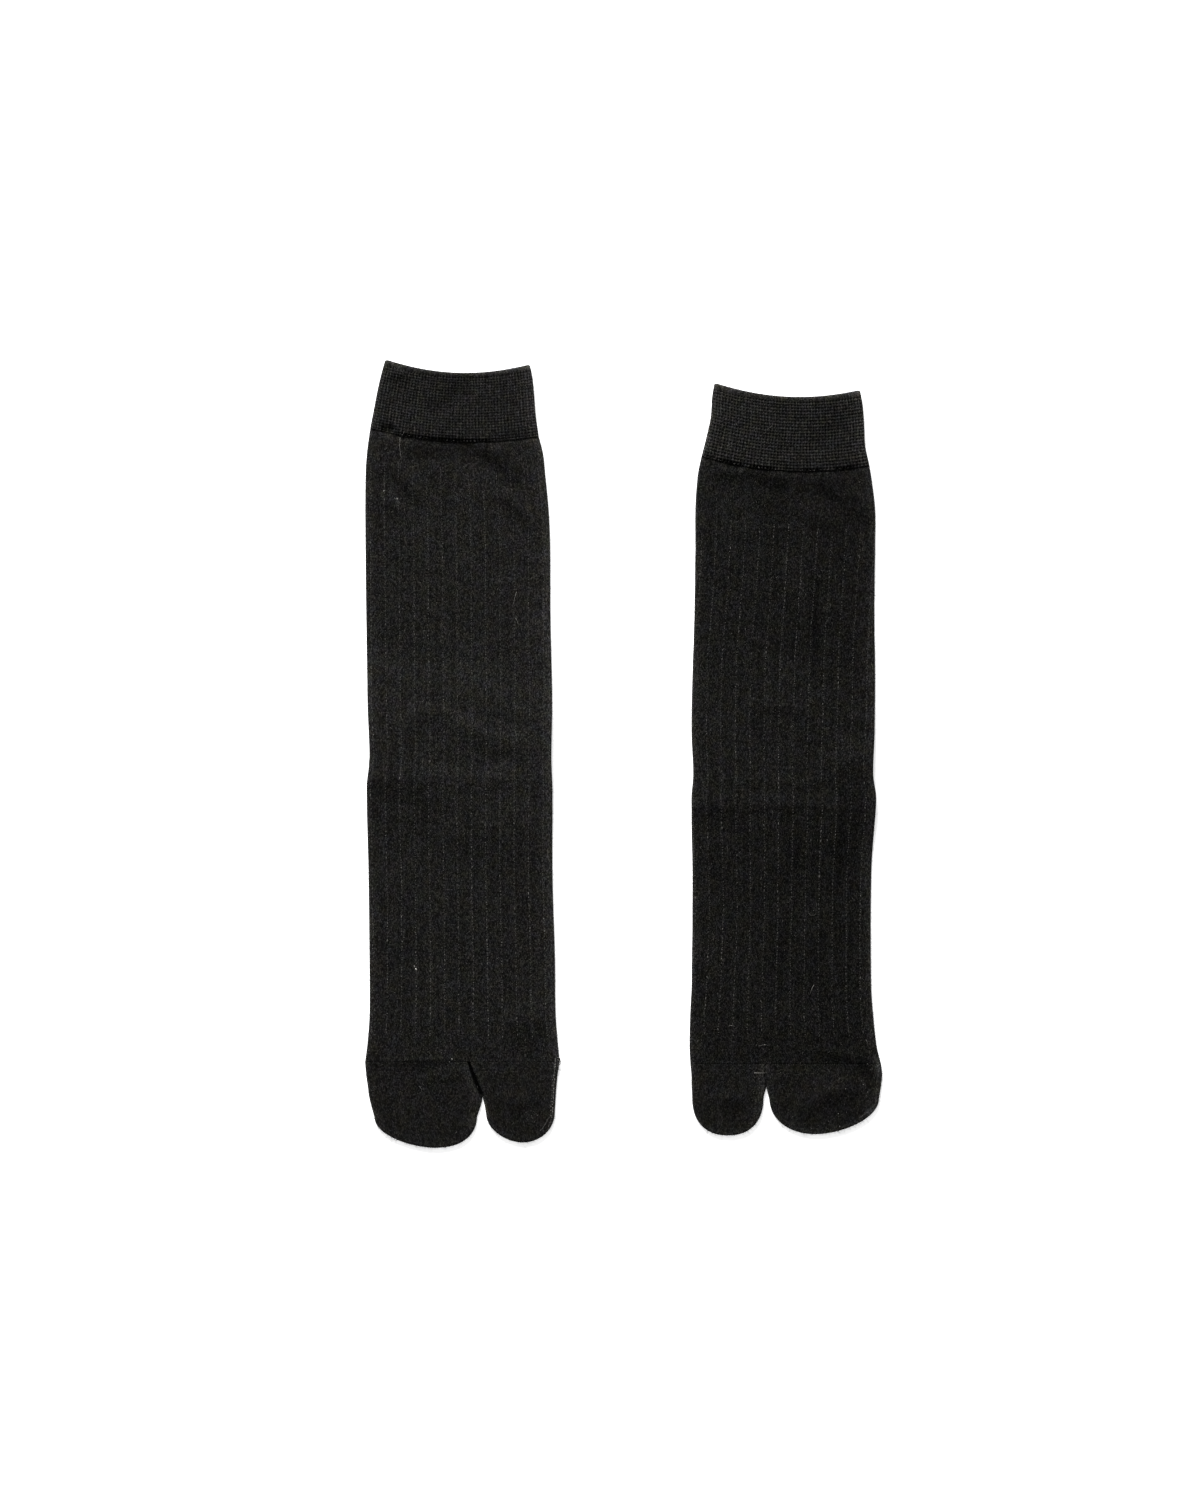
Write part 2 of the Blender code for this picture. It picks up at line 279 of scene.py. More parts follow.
RIGHT = Sock(
    side="right",
    cuff=(
        Station(192.75, -116.8, -46.0, 2.4, 5.2),
        Station(187.0, -118.4, -44.8, 2.8, 4.6),
        Station(178.0, -120.5, -43.9, 3.0, 4.5),
        Station(169.0, -122.2, -43.2, 3.4, 4.4),
        Station(158.4, -124.2, -41.7, 3.9, 4.4),
    ),
    rib=Rib(1.33, 0.35),
    tube=(
        Station(158.4, -124.2, -41.7, 3.9, 4.4),
        Station(150.0, -125.5, -39.6, 3.3, 3.8),
        Station(140.0, -126.4, -38.6, 2.5, 2.9),
        Station(122.0, -126.7, -36.9, 1.4, 1.6),
        Station(104.0, -126.6, -36.1, 0.5, 0.6),
        Station(66.0, -126.2, -35.9),
        Station(25.0, -125.5, -35.0),
        Station(-2.0, -124.5, -35.4),
        Station(-17.0, -125.9, -34.9),
        Station(-58.0, -125.1, -34.9),
        Station(-100.0, -124.6, -33.7),
        Station(-127.0, -124.6, -33.4),
        Station(-141.0, -125.5, -32.4),
        Station(-151.5, -126.8, -31.4),
    ),
    heel=Heel(fold=-10.5, depth=35.0, drift=-7.0, fade=1.7, soft_at=-60.0, soft_half=42.0),
    outer=(
        Station(-151.5, -126.8, -75.9),
        Station(-158.0, -126.2, -73.5),
        Station(-163.0, -125.5, -71.45),
        Station(-169.0, -124.7, -69.4),
        Station(-179.0, -122.1, -72.1),
    ),
    outer_tip=Tip(reach=14.9, drift=5.0, power=1.95),
    big=(
        Station(-151.5, -75.96, -31.4),
        Station(-158.0, -73.5, -32.4),
        Station(-164.0, -71.0, -33.0),
        Station(-170.0, -68.6, -33.4),
        Station(-177.0, -67.2, -33.8),
    ),
    big_tip=Tip(reach=14.3, drift=1.2, power=1.9),
    leans=(
        Lean(84.0, -0.5, -0.3),
        Lean(0.0, -1.2, -0.5),
        Lean(-77.0, -1.6, -0.85),
        Lean(-128.0, -1.8, -0.4),
    ),
    folds=(
        Fold((-78, 154), (-61, 150.5), (-49.5, 134.5), 4.0, 1.2),
        Fold((-84, 150), (-69, 147.5), (-56, 129), 3.8, -0.8),
        Fold((-57, 129), (-51, 121), (-46, 110), 3.4, 1.1),
        Fold((-64, 125), (-57, 118), (-53, 107), 3.2, -0.7),
        Fold((-66, 132), (-58, 132), (-48, 133), 2.2, -0.6),
        Fold((-108, 146), (-98, 144.5), (-88, 146), 3.0, -0.8),
        Fold((-115, 143), (-106, 135), (-99.5, 122), 3.4, 1.05),
        Fold((-120, 139), (-112, 131), (-105, 119), 3.2, -0.7),
        Fold((-120, 127.5), (-113, 124), (-107, 117.5), 2.4, 1.0),
        Fold((-126, 45), (-116, 41), (-106, 34), 4.0, 0.8),
        Fold((-110, 12), (-92, 32), (-72, 9), 3.4, 0.7),
        Fold((-90, 16), (-70, 8), (-38, 4), 4.2, 0.8),
        Fold((-84, 1), (-68, -3.5), (-46, -2.5), 3.4, -0.7),
        Fold((-106, 24), (-103, 14), (-104, 2), 2.6, 0.7),
        Fold((-118, -10), (-78, -14), (-40, -11), 5.0, 0.4),
        Fold((-128, -17), (-106, -26), (-80, -30), 5.0, -0.7),
        Fold((-86, -38), (-60, -40), (-36, -36), 9.0, 0.6),
        Fold((-124, -153.8), (-100, -154.5), (-77, -152.5), 1.3, -0.7),
        Fold((-124, -150.8), (-100, -151.3), (-77, -149.5), 1.3, 0.5),
        Fold((-124, -153), (-110, -156), (-92, -154.5), 3.0, -1.2),
        Fold((-60, -129), (-47, -131), (-34, -128), 5.0, 0.9),
        Fold((-62, -169), (-51, -172), (-40, -169.5), 4.2, 1.0),
        Fold((-102, -158), (-90, -159.5), (-78, -157.5), 3.4, 0.8),
        Fold((-116, 188), (-111, 187.5), (-105, 186), 2.5, 0.7),
        Fold((-72, 183), (-82, 176), (-96, 166), 5.0, -0.6),
        Fold((-119, 160), (-115.4, 158.8), (-111.5, 159.8), 2.4, -1.3),
    ),
    back_folds=(
        Fold((-120, 118), (-96, 126), (-70, 114), 6.0, 0.6),
        Fold((-118, -62), (-92, -70), (-60, -58), 8.0, 0.5),
    ),
    # Strokes of painted light and shade on the cloth.
    casts=(
        Cast((-118, 187), (-112, 184), (-106, 180), 4.0, -0.22),
        Cast((-76, 183), (-84, 176), (-96, 166), 5.0, -0.22),
        Cast((-109, 151), (-97, 148), (-84, 149), 3.6, -0.5),
        Cast((-94, 157), (-66, 152), (-47, 129), 4.4, -0.42),
        Cast((-98, 143), (-92, 137), (-88, 130), 5.0, -0.14),
        Cast((-100, 155.5), (-84, 152.5), (-66, 147), 4.4, -0.34),
        Cast((-82, -64), (-82, -98), (-82, -136), 45.0, -0.06),
        Cast((-62, 128), (-53, 119.5), (-42, 109), 3.6, -0.48),
        Cast((-117, 145), (-108, 135), (-98, 118), 3.4, -0.38),
        Cast((-119, 124), (-113, 119.5), (-106, 116), 2.4, -0.26),
        Cast((-122, 12), (-96, 36), (-66, 8), 4.5, 0.22),
        Cast((-128, 16), (-82, 12), (-36, 14), 26.0, 0.09),
        Cast((-66, 9), (-54, 8), (-40, 6), 4.5, 0.3),
        Cast((-90, -1), (-68, -4), (-44, -3), 3.4, -0.3),
        Cast((-118, -9), (-80, -13), (-34, -9), 4.2, 0.2),
        Cast((-66, -24), (-52, -26), (-36, -22), 9.0, 0.22),
        Cast((-122, -23), (-104, -28), (-82, -33), 8.0, -0.12),
        Cast((-130, -153), (-108, -155.5), (-80, -153.5), 3.0, -0.36),
        Cast((-62, -139), (-50, -142), (-37, -141), 6.5, -0.24),
        Cast((-58, -176), (-51, -178), (-44, -175), 4.5, -0.17),
    ),
    pulls=(Pull(-98.0, 11.0, 1.3), Pull(-76.0, 11.0, 1.4), Pull(-57.0, 7.0, 0.05)),
    stripe_top=146.0,
    stripe_end=-139.2,
    stripe_growth=0.003,
    dye=Dye(1.0, 0.975, 0.99, -0.03, 1.1),
    slit=Slit(0.68, 0.95, 17.5),
)

LEFT = Sock(
    side="left",
    cuff=(
        Station(180.7, 45.2, 116.5, 3.4, 4.9),
        Station(174.0, 44.1, 117.7, 3.8, 4.4),
        Station(164.0, 43.4, 118.5, 4.0, 4.6),
        Station(154.0, 41.3, 119.0, 4.2, 4.8),
        Station(144.4, 38.9, 121.1, 4.4, 4.9),
    ),
    rib=Rib(1.5, 0.1),
    tube=(
        Station(144.4, 38.9, 121.1, 4.4, 4.9),
        Station(136.0, 37.1, 122.4, 3.5, 4.2),
        Station(121.0, 35.9, 124.0, 2.2, 2.6),
        Station(100.0, 35.8, 123.9, 0.8, 1.0),
        Station(66.0, 35.3, 123.6),
        Station(38.0, 34.4, 124.0),
        Station(11.0, 33.9, 123.6),
        Station(-10.0, 34.7, 122.9),
        Station(-22.0, 33.8, 124.3),
        Station(-58.0, 34.4, 122.1),
        Station(-113.0, 34.0, 122.0),
        Station(-129.0, 33.3, 123.1),
        Station(-144.0, 33.0, 124.8),
        Station(-152.5, 33.4, 126.9),
    ),
    heel=Heel(fold=-24.0, depth=35.0, drift=-5.0, fade=2.3, soft_at=72.0, soft_half=38.0),
    outer=(
        Station(-152.5, 69.9, 126.9),
        Station(-158.0, 69.9, 127.4),
        Station(-163.0, 70.6, 126.9),
        Station(-170.0, 72.3, 125.8),
    ),
    outer_tip=Tip(reach=17.2, drift=-4.5, power=1.9),
    big=(
        Station(-152.5, 33.4, 69.94),
        Station(-158.0, 33.9, 69.9),
        Station(-163.0, 34.0, 70.5),
        Station(-169.0, 34.3, 69.0),
    ),
    big_tip=Tip(reach=18.8, drift=0.0, power=2.3),
    leans=(
        Lean(112.0, 1.8, 0.8),
        Lean(80.0, 0.1, 0.8),
        Lean(46.0, -2.3, 0.8),
        Lean(-20.0, -2.8, 0.0),
        Lean(-77.0, -2.1, -1.0),
        Lean(-128.0, -3.4, -0.2),
    ),
    folds=(
        Fold((115, 167), (104, 160), (91, 148), 5.0, -0.7),
        Fold((43, 168), (57, 165), (72, 168), 6.0, 0.5),
        Fold((46, 139.5), (54, 138.5), (62, 139), 2.4, 0.8),
        Fold((62, 140.5), (73, 138.5), (83, 133), 3.8, 0.85),
        Fold((60, 134), (72, 130.5), (81, 126), 3.6, -0.5),
        Fold((90, 138.5), (101, 134), (110, 124), 3.8, 1.0),
        Fold((88, 132), (98, 128), (106, 119), 3.6, -0.6),
        Fold((87, 121), (97, 116.5), (106, 110), 3.6, 1.0),
        Fold((112, 130), (118, 124), (121, 113), 2.8, 1.1),
        Fold((50, 111.5), (60, 109), (70, 108.5), 4.0, 0.9),
        Fold((90, 94), (91, 66), (91, 34), 2.6, 1.2),
        Fold((96.5, 92), (97.5, 66), (98, 36), 2.6, -0.6),
        Fold((60, 24), (77, 23.5), (93, 20.5), 3.0, 0.7),
        Fold((96, -3), (111, -6), (126, -8), 9.0, 1.2),
        Fold((108, 20), (116, 17.5), (123, 15), 3.0, 0.9),
        Fold((48, -13.5), (78, -14.5), (108, -13.5), 2.2, 0.5),
        Fold((32, -22.5), (46, -24), (60, -28), 5.0, 0.7),
        Fold((34, -35), (47, -36), (62, -41), 4.5, -0.4),
        Fold((58, -25), (80, -25.5), (104, -24), 3.0, 0.5),
        Fold((111, -20), (112, -38), (110, -58), 5.0, -1.0),
        Fold((102, -22), (107, -38), (105, -62), 3.6, 1.2),
        Fold((114, -26), (118, -40), (115, -64), 3.6, -0.7),
        Fold((84, -28), (85.5, -42), (84, -55), 2.2, 0.7),
        Fold((78, -72), (79, -88), (77, -102), 3.4, 0.8),
        Fold((93, -76), (94, -98), (92, -118), 2.8, 0.9),
        Fold((110, -72), (111, -88), (110, -104), 2.2, 0.7),
        Fold((92, -146.5), (114, -144), (127, -159), 3.0, 0.6),
        Fold((94, -152), (112, -151.5), (126, -168), 3.0, -0.35),
        Fold((121, -163), (103, -162.5), (84, -176), 4.0, 0.9),
        Fold((44, -168), (54, -170), (64, -168), 4.2, 0.9),
        Fold((45, -176), (54, -178), (62, -175), 3.6, -0.6),
    ),
    back_folds=(
        Fold((48, 96), (78, 108), (108, 98), 6.0, 0.6),
        Fold((52, -72), (84, -66), (114, -80), 8.0, 0.5),
    ),
    # Strokes of painted light and shade on the cloth.
    casts=(
        Cast((120, 168), (108, 160), (88, 150), 7.0, -0.22),
        Cast((44, 138), (53, 136), (62, 134), 4.0, -0.22),
        Cast((58, 138), (71, 135), (82, 128), 4.4, -0.34),
        Cast((88, 136), (99, 131.5), (108, 123), 4.0, -0.24),
        Cast((108, 121), (114, 118), (120, 111), 4.0, -0.2),
        Cast((66, 118), (76, 124), (86, 122), 4.0, -0.14),
        Cast((94.5, 94), (95.2, 66), (94.6, 36), 2.3, -0.3),
        Cast((82, 76), (82.5, 60), (82, 44), 2.0, -0.16),
        Cast((112, 60), (113, 40), (112, 22), 4.5, -0.16),
        Cast((70, 20.5), (80, 20), (90, 18), 3.4, -0.16),
        Cast((98, 6), (110, 4), (124, 0), 8.0, 0.24),
        Cast((30, 8), (80, -6), (128, 0), 26.0, 0.22),
        Cast((66, -14), (82, -15), (98, -15), 3.0, -0.14),
        Cast((107, -25), (110, -42), (109, -62), 5.0, -0.3),
        Cast((83, -28), (85, -40), (84, -54), 2.6, -0.2),
        Cast((78, -72), (80, -88), (78, -102), 4.0, -0.16),
        Cast((92, -80), (93, -98), (92, -116), 2.6, -0.18),
        Cast((94, -149.5), (114, -149.5), (126, -161), 3.6, -0.24),
        Cast((122, -167), (106, -172), (84, -180), 5.0, -0.27),
        Cast((48, -175), (54, -178), (61, -175), 4.5, -0.3),
        Cast((114, -150), (121, -152.5), (120.5, -160), 3.2, -0.5),
        Cast((124.8, -149.5), (126, -153), (125.2, -157), 1.7, 1.2),
        Cast((124, -173), (121.8, -176), (118.6, -178.6), 2.2, 0.8),
        Cast((33, -140), (38, -146), (36, -152), 5.0, 0.25),
    ),
    pulls=(
        Pull(53.0, 5.0, 1.4),
        Pull(68.4, 5.4, 1.4),
        Pull(82.0, 4.0, 0.15),
        Pull(93.5, 4.2, 1.3),
        Pull(109.2, 4.6, 1.3),
    ),
    stripe_top=118.0,
    stripe_end=-138.5,
    stripe_growth=0.0,
    dye=Dye(1.03, 0.70, 0.93, 0.1, 1.35),
    slit=Slit(0.12, 0.55, 12.0),
)

RIGHT_STITCHES = (
    Stitches((-33.2, -150), (-34.0, -162), (-34.6, -176), 0.8, 0.5, 0.55),
    Stitches((-34.2, -158), (-35.2, -167), (-35.4, -178), 1.3, 0.5, 0.4),
    Stitches((-34.6, -176), (-35.6, -184), (-40, -189.0), 0.9, 0.45, 0.45),
    Stitches((-36.5, -179), (-38.6, -184), (-42, -186.5), 1.2, 0.45, 0.36),
    Stitches((-48.8, -177), (-45, -173.8), (-42.2, -178), 1.1, 0.42, 0.3),
    Stitches((-47.5, -179.4), (-44.5, -177.4), (-42.8, -181.4), 1.0, 0.4, 0.28),
    # Tone 0: black beads of painted shade, where holes between the stitches lie in shade.
    Stitches((-35.7, -160.3), (-35.8, -167), (-36.9, -177.6), 3.4, 0.62, 0.0),
    Stitches((-41.5, -187), (-38, -182), (-35.5, -177), 0.9, 0.4, 0.3),
    Stitches((-122, -151.4), (-100, -152.2), (-77.5, -150.4), 0.95, 0.3, 0.22),
    Stitches((-110.0, 157.2), (-84.0, 152.3), (-58.0, 154.4), 1.7, 0.6, 0.22),
)
RIGHT_HAIRS = (
    Hair((-32.4, -149.3), (-29.4, -149.6), (-32.0, -152.6), 0.55, 0.34),
    Hair((-32.2, -150.4), (-28.8, -151.4), (-32.6, -154.2), 0.5, 0.4),
    Hair((-31.8, -149.0), (-30.2, -151.4), (-32.4, -153.6), 0.6, 0.3),
    Hair((-109.6, 155.6), (-110.4, 150), (-108.4, 142.4), 0.16, 0.8),
    Hair((-107.5, 158.6), (-108.2, 157), (-109.6, 155.4), 0.14, 0.6),
    Hair((-112.4, 126), (-109.6, 123.6), (-112, 121.6), 0.13, 0.5),
    Hair((-52.4, 79.7), (-53.6, 76), (-54.4, 71.8), 0.15, 0.75),
    Hair((-52.8, 66.8), (-51.6, 65), (-51.4, 62.6), 0.18, 0.65),
    Hair((-124.6, -1.2), (-122.2, -1.6), (-122.6, -4.2), 0.12, 0.5),
    Hair((-100.2, -163.3), (-96.4, -166.4), (-103.4, -168), 0.13, 0.5),
    Hair((-77.4, 187.2), (-78.6, 189.4), (-79.8, 188.6), 0.3, 0.35),
    Hair((-103.2, 74), (-101.9, 72.2), (-101.4, 69.6), 0.12, 0.4),
    Hair((-60.3, 121.2), (-59.5, 118.8), (-59.8, 116.4), 0.12, 0.4),
    Hair((-71.8, 7.8), (-71.0, 5.4), (-71.4, 2.8), 0.12, 0.38),
)
RIGHT_SPECKS = (
    Speck(-101.8, -105.8, 1.0, 1.0),
    Speck(-102.6, -104.4, 0.6, 0.8),
    Speck(-84.1, -150.1, 0.6, 0.85),
    Speck(-85.4, -151.5, 0.45, 0.5),
    Speck(-89.4, -147.0, 0.4, 0.5),
    Speck(-117.6, 129.4, 0.9, 0.5),
    Speck(-111.0, 125.5, 0.9, 0.55),
    # Tone 0: black specks of painted shade in holes between the stitches.
    Speck(-35.6, -163.8, 0.55, 0.0),
    Speck(-35.7, -167.3, 0.65, 0.0),
    Speck(-36.3, -171.0, 0.65, 0.0),
    Speck(-36.7, -174.4, 0.6, 0.0),
    Speck(-45.0, -178.0, 0.5, 0.3),
    Speck(-43.6, -181.0, 0.5, 0.3),
    Speck(-46.8, -180.0, 0.45, 0.3),
)
LEFT_STITCHES = (
    Stitches((67.6, -148.2), (69.6, -151), (69.8, -152.4), 1.1, 0.28, 0.24),
    Stitches((69.8, -152.4), (68.4, -153.6), (67.4, -155), 0.9, 0.28, 0.3),
    Stitches((67.2, -158.3), (67.6, -162), (67.2, -166.6), 0.8, 0.34, 0.34),
    # Tone 0: black beads of painted shade, where holes between the stitches lie in shade.
    Stitches((66.0, -159.4), (66.3, -160.6), (66.5, -162.4), 0.9, 0.5, 0.0),
    Stitches((69.4, -157.6), (70.0, -159.6), (70.6, -162.4), 0.5, 0.55, 0.0),
    Stitches((64.0, -165.0), (66.5, -174), (63.4, -183), 1.3, 0.38, 0.3),
    Stitches((117.0, -160.6), (121.4, -163), (117.6, -166), 1.0, 0.36, 0.26),
    Stitches((117.6, -166), (121.8, -168.2), (118, -170.4), 1.0, 0.36, 0.24),
    Stitches((116.6, -172.5), (108, -178.5), (87, -186.3), 2.6, 0.4, 0.32),
    Stitches((125.5, -170.4), (121.5, -176), (116.4, -179), 0.9, 0.42, 0.3),
    # Tone 0: black beads of painted shade, where holes between the stitches lie in shade.
    Stitches((119.4, -149.4), (121.4, -153), (119.0, -157.6), 1.5, 0.62, 0.0),
    Stitches((123.4, -150.5), (124.6, -154), (123.6, -158.4), 1.7, 0.5, 0.0),
    Stitches((35.5, -144.2), (66, -147.2), (84, -146.6), 1.3, 0.28, 0.2),
    Stitches((86, -145.9), (108, -144.8), (126, -151), 0.95, 0.34, 0.18),
    Stitches((48.0, 144.2), (61.5, 141.0), (75.0, 139.8), 1.7, 0.6, 0.22),
    Stitches((89.0, 139.3), (101.5, 139.2), (114.0, 141.0), 1.7, 0.6, 0.22),
)
LEFT_HAIRS = (
    Hair((64.5, -156.9), (67.3, -157.0), (70.2, -156.9), 0.3, 0.7),
    Hair((66.8, -143.7), (69.8, -142.6), (72.0, -143.4), 0.22, 0.42),
    Hair((93.9, -113.6), (92.6, -115.4), (91.9, -118.4), 0.24, 0.72),
    Hair((52.0, -133.8), (53.6, -133.1), (55.2, -134.0), 0.17, 0.55),
    Hair((91.4, -78.4), (93.4, -80.8), (95.2, -78.2), 0.13, 0.42),
    Hair((95.4, -73.2), (94.4, -76.0), (96.4, -79.2), 0.13, 0.4),
    Hair((51.0, -45.2), (51.7, -46.7), (51.2, -49.2), 0.14, 0.5),
    Hair((88.2, -12.4), (88.6, -13.8), (89.6, -15.6), 0.14, 0.5),
    Hair((73.2, -27.8), (73.8, -29.0), (73.4, -31.2), 0.14, 0.5),
    Hair((84.8, 175.2), (85.6, 177.2), (86.6, 175.8), 0.28, 0.4),
    Hair((119.6, -140.5), (120.6, -142), (120.2, -144.4), 0.14, 0.6),
    Hair((60.1, 62.0), (60.9, 59.4), (60.2, 57.2), 0.12, 0.4),
    Hair((104.2, 88.0), (105.0, 85.8), (104.6, 83.4), 0.12, 0.4),
)
LEFT_SPECKS = (
    Speck(100.4, -42.3, 0.45, 0.6),
    Speck(53.5, -133.6, 0.45, 0.5),
    Speck(93.8, -77.0, 0.4, 0.42),
    Speck(118.3, -162.6, 0.45, 0.5),
    Speck(120.5, -166.3, 0.45, 0.45),
    Speck(109.5, -164.6, 0.4, 0.55),
    Speck(106.0, -176.9, 0.45, 0.6),
    Speck(106.7, -183.2, 0.45, 0.6),
    Speck(77.6, -156.8, 0.35, 0.5),
    Speck(69.8, -143.0, 0.5, 0.65),
    Speck(120.4, -152.6, 0.9, 0.22),
    Speck(122.0, -155.4, 0.8, 0.2),
    Speck(125.6, -156.5, 0.7, 0.28),
)


# Reading the tables.


def read(rows, along, column):
    """A column of the stations at any Y, on a smooth curve through their values."""
    places = np.array([row.along for row in rows])
    values = np.array([getattr(row, column) for row in rows])
    before = np.maximum(np.arange(len(rows)) - 1, 0)
    after = np.minimum(np.arange(len(rows)) + 1, len(rows) - 1)
    slopes = (values[after] - values[before]) / (places[after] - places[before])
    start = np.clip(np.searchsorted(-places, -along, side="right") - 1, 0, len(rows) - 2)
    length = places[start + 1] - places[start]
    t = np.clip((along - places[start]) / length, 0.0, 1.0)
    return (
        (2 * t**3 - 3 * t**2 + 1) * values[start]
        + (t**3 - 2 * t**2 + t) * slopes[start] * length
        + (3 * t**2 - 2 * t**3) * values[start + 1]
        + (t**3 - t**2) * slopes[start + 1] * length
    )


def sides(rows, along, inset=0.0, proud=0.0):
    """X of both sides at each Y, drawn in by inset and standing proud."""
    left = read(rows, along, "left") - proud + inset
    right = read(rows, along, "right") + proud - inset
    return left, right


def smooth_step(t):
    t = np.clip(t, 0.0, 1.0)
    return t * t * (3 - 2 * t)


def on_curve(start, bend, end, t):
    """The point at a share of the way along a curve from start over bend to end."""
    start, bend, end = Vector(start), Vector(bend), Vector(end)
    return start.lerp(bend, t).lerp(bend.lerp(end, t), t)


def lift(sock, x, y, share):
    """How far the heel pocket lifts the tube. Share is 0 in the back layer and 1 in front."""
    heel = sock.heel
    left, right = sides(sock.tube, np.array(heel.fold))
    up = np.maximum((y - heel.fold) / heel.depth, 0.0)
    across = np.abs(x - (left + right) / 2 - heel.drift * up**2) / ((right - left) / 2)
    reach = (across**HEEL_POWER + up**HEEL_POWER) ** (1 / HEEL_POWER)
    fade_from = HEEL_BACK_FROM + (HEEL_FADE_FROM - HEEL_BACK_FROM) * share
    fade_to = HEEL_BACK_TO + (heel.fade - HEEL_BACK_TO) * share
    faded = 1 - smooth_step((reach - fade_from) / (fade_to - fade_from))
    inside = np.where(y < heel.fold, 1.0, faded)
    from_fold = y - heel.fold
    soft = 1 + HEEL_SOFTER * np.exp(-(((x - heel.soft_at) / heel.soft_half) ** 2))
    step = UNDER_STEP + (TOP_STEP * soft - UNDER_STEP) * share
    risen = smooth_step(1 + from_fold / step)
    return (HEEL_LIFT * inside + RIDGE_HIGH * np.exp(-((from_fold / RIDGE_HALF) ** 2))) * risen


def folds_height(folds, x, y):
    """What the folds add at each point."""
    total = np.zeros(np.broadcast(x, y).shape)
    for fold in folds:
        nearest = np.full(total.shape, np.inf)
        place = np.zeros(total.shape)
        line = [
            on_curve(fold.start, fold.bend, fold.end, step / FOLD_STEPS)
            for step in range(FOLD_STEPS + 1)
        ]
        for step in range(FOLD_STEPS):
            start, run = line[step], line[step + 1] - line[step]
            t = np.clip(((x - start.x) * run.x + (y - start.y) * run.y) / run.length_squared, 0, 1)
            apart = (x - start.x - t * run.x) ** 2 + (y - start.y - t * run.y) ** 2
            place = np.where(apart < nearest, (step + t) / FOLD_STEPS, place)
            nearest = np.minimum(apart, nearest)
        taper = np.sin(np.pi * place) ** FOLD_TAPER
        total += FOLD_GAIN * fold.high * np.exp(-nearest / fold.half**2) * taper
    return total


def painted_stroke_tone(sock, x, y):
    """How much lighter or darker the painted strokes of light and shade make each point."""
    return np.exp(PAINTED_STROKE_PART * folds_height(sock.casts, x, y))


def seam_line(sock, x):
    """Y of the seam between cuff and leg at each X."""
    first = sock.tube[0]
    across = np.clip((x - first.left) / (first.right - first.left), 0, 1)
    return first.along + first.tilt * (0.5 - across) - first.dip * 4 * across * (1 - across)


def pulled(sock, x):
    """How strongly the cuff's seam pulls down at each X, from 0 to 1."""
    deep = np.zeros(np.shape(x))
    for pull in sock.pulls:
        deep = deep + pull.deep / PULLED * np.exp(-np.abs((x - pull.middle) / pull.half) ** 3)
    return np.minimum(deep, 1.0)


def groove(sock, x, y):
    """How deep the cuff's seam lies at each point: deep where it pulls, shallow between."""
    deep = GROOVE_DEEP + PULLED * pulled(sock, x)
    return deep * np.exp(-(((y - seam_line(sock, x)) / GROOVE_HALF) ** 2))


def painted_light_across(x, left, right, faded, rim):
    """Painted light across the width: highlights along both edges, and a slope from side to side.
    """
    from_left = np.maximum(x - left, 0.0)
    from_right = np.maximum(right - x, 0.0)
    pale = PALE_LEFT * np.exp(-from_left / PALE_OVER_LEFT)
    pale = pale + PALE_RIGHT * np.exp(-from_right / PALE_OVER_RIGHT)
    return (1 + rim * pale) * (1 + faded * (from_right - from_left) / (right - left))


def settled(height):
    """Height above the back layer, which stops a trough from going through it."""
    return LOWEST + np.log1p(np.exp((height - LOWEST) * SETTLE_SHARP)) / SETTLE_SHARP


def unevenness(x, y):
    """The rise and fall of cloth that was smoothed out by hand, in waves of uneven lengths."""
    slow = np.sin(x / 9.1 + y / 23.0 + 0.8) * np.sin(y / 14.7 - x / 31.0)
    quick = np.sin(x / 4.3 - y / 11.0 + 2.1) * np.sin(y / 6.9 + x / 12.0 + 0.4)
    return SLOW_SWELL * slow + QUICK_SWELL * quick


# Shapes of the cloth.


def section(share, left, right, low, high):
    """(x, z) and the outward direction at a share of the way round a flattened tube.

    It starts at the left edge and runs over the front, round the right edge and back underneath.
    """
    radius = (high - low) / 2
    middle = (high + low) / 2
    flat = right - left - 2 * radius
    bend = math.pi * radius / 2
    arc = (share % 1.0) * (2 * flat + 4 * bend)
    ends = (bend, bend + flat, 3 * bend + flat, 3 * bend + 2 * flat)
    parts = [arc < end for end in ends]
    turn = np.select(
        parts,
        [arc / radius, math.pi / 2, (arc - flat) / radius, 3 * math.pi / 2],
        (arc - 2 * flat) / radius,
    )
    centre = np.select(
        parts,
        [left + radius, left + radius + arc - bend, right - radius, right - radius - arc + ends[2]],
        left + radius,
    )
    out_x = -np.cos(turn)
    out_z = np.sin(turn)
    return centre + radius * out_x, middle + radius * out_z, out_x, out_z


def tube_points(rows, share, along, inset, high, outward, raised):
    """Points of a flattened tube, drawn in by inset and moved outward, with raised added to z."""
    left, right = sides(rows, along, inset, PROUD)
    x, z, out_x, out_z = section(share, left, right, inset, high - inset)
    across = np.clip((x - left) / (right - left), 0.0, 1.0)
    dip = read(rows, along, "dip") * 4 * across * (1 - across)
    y = along + read(rows, along, "tilt") * (0.5 - across) - dip
    front = (z - inset) / (high - 2 * inset)
    x = x + out_x * outward
    z = z + out_z * outward
    edge = np.minimum(x - left, right - x)
    return np.stack([x, y, z + raised(x, y, front, edge)], axis=-1)


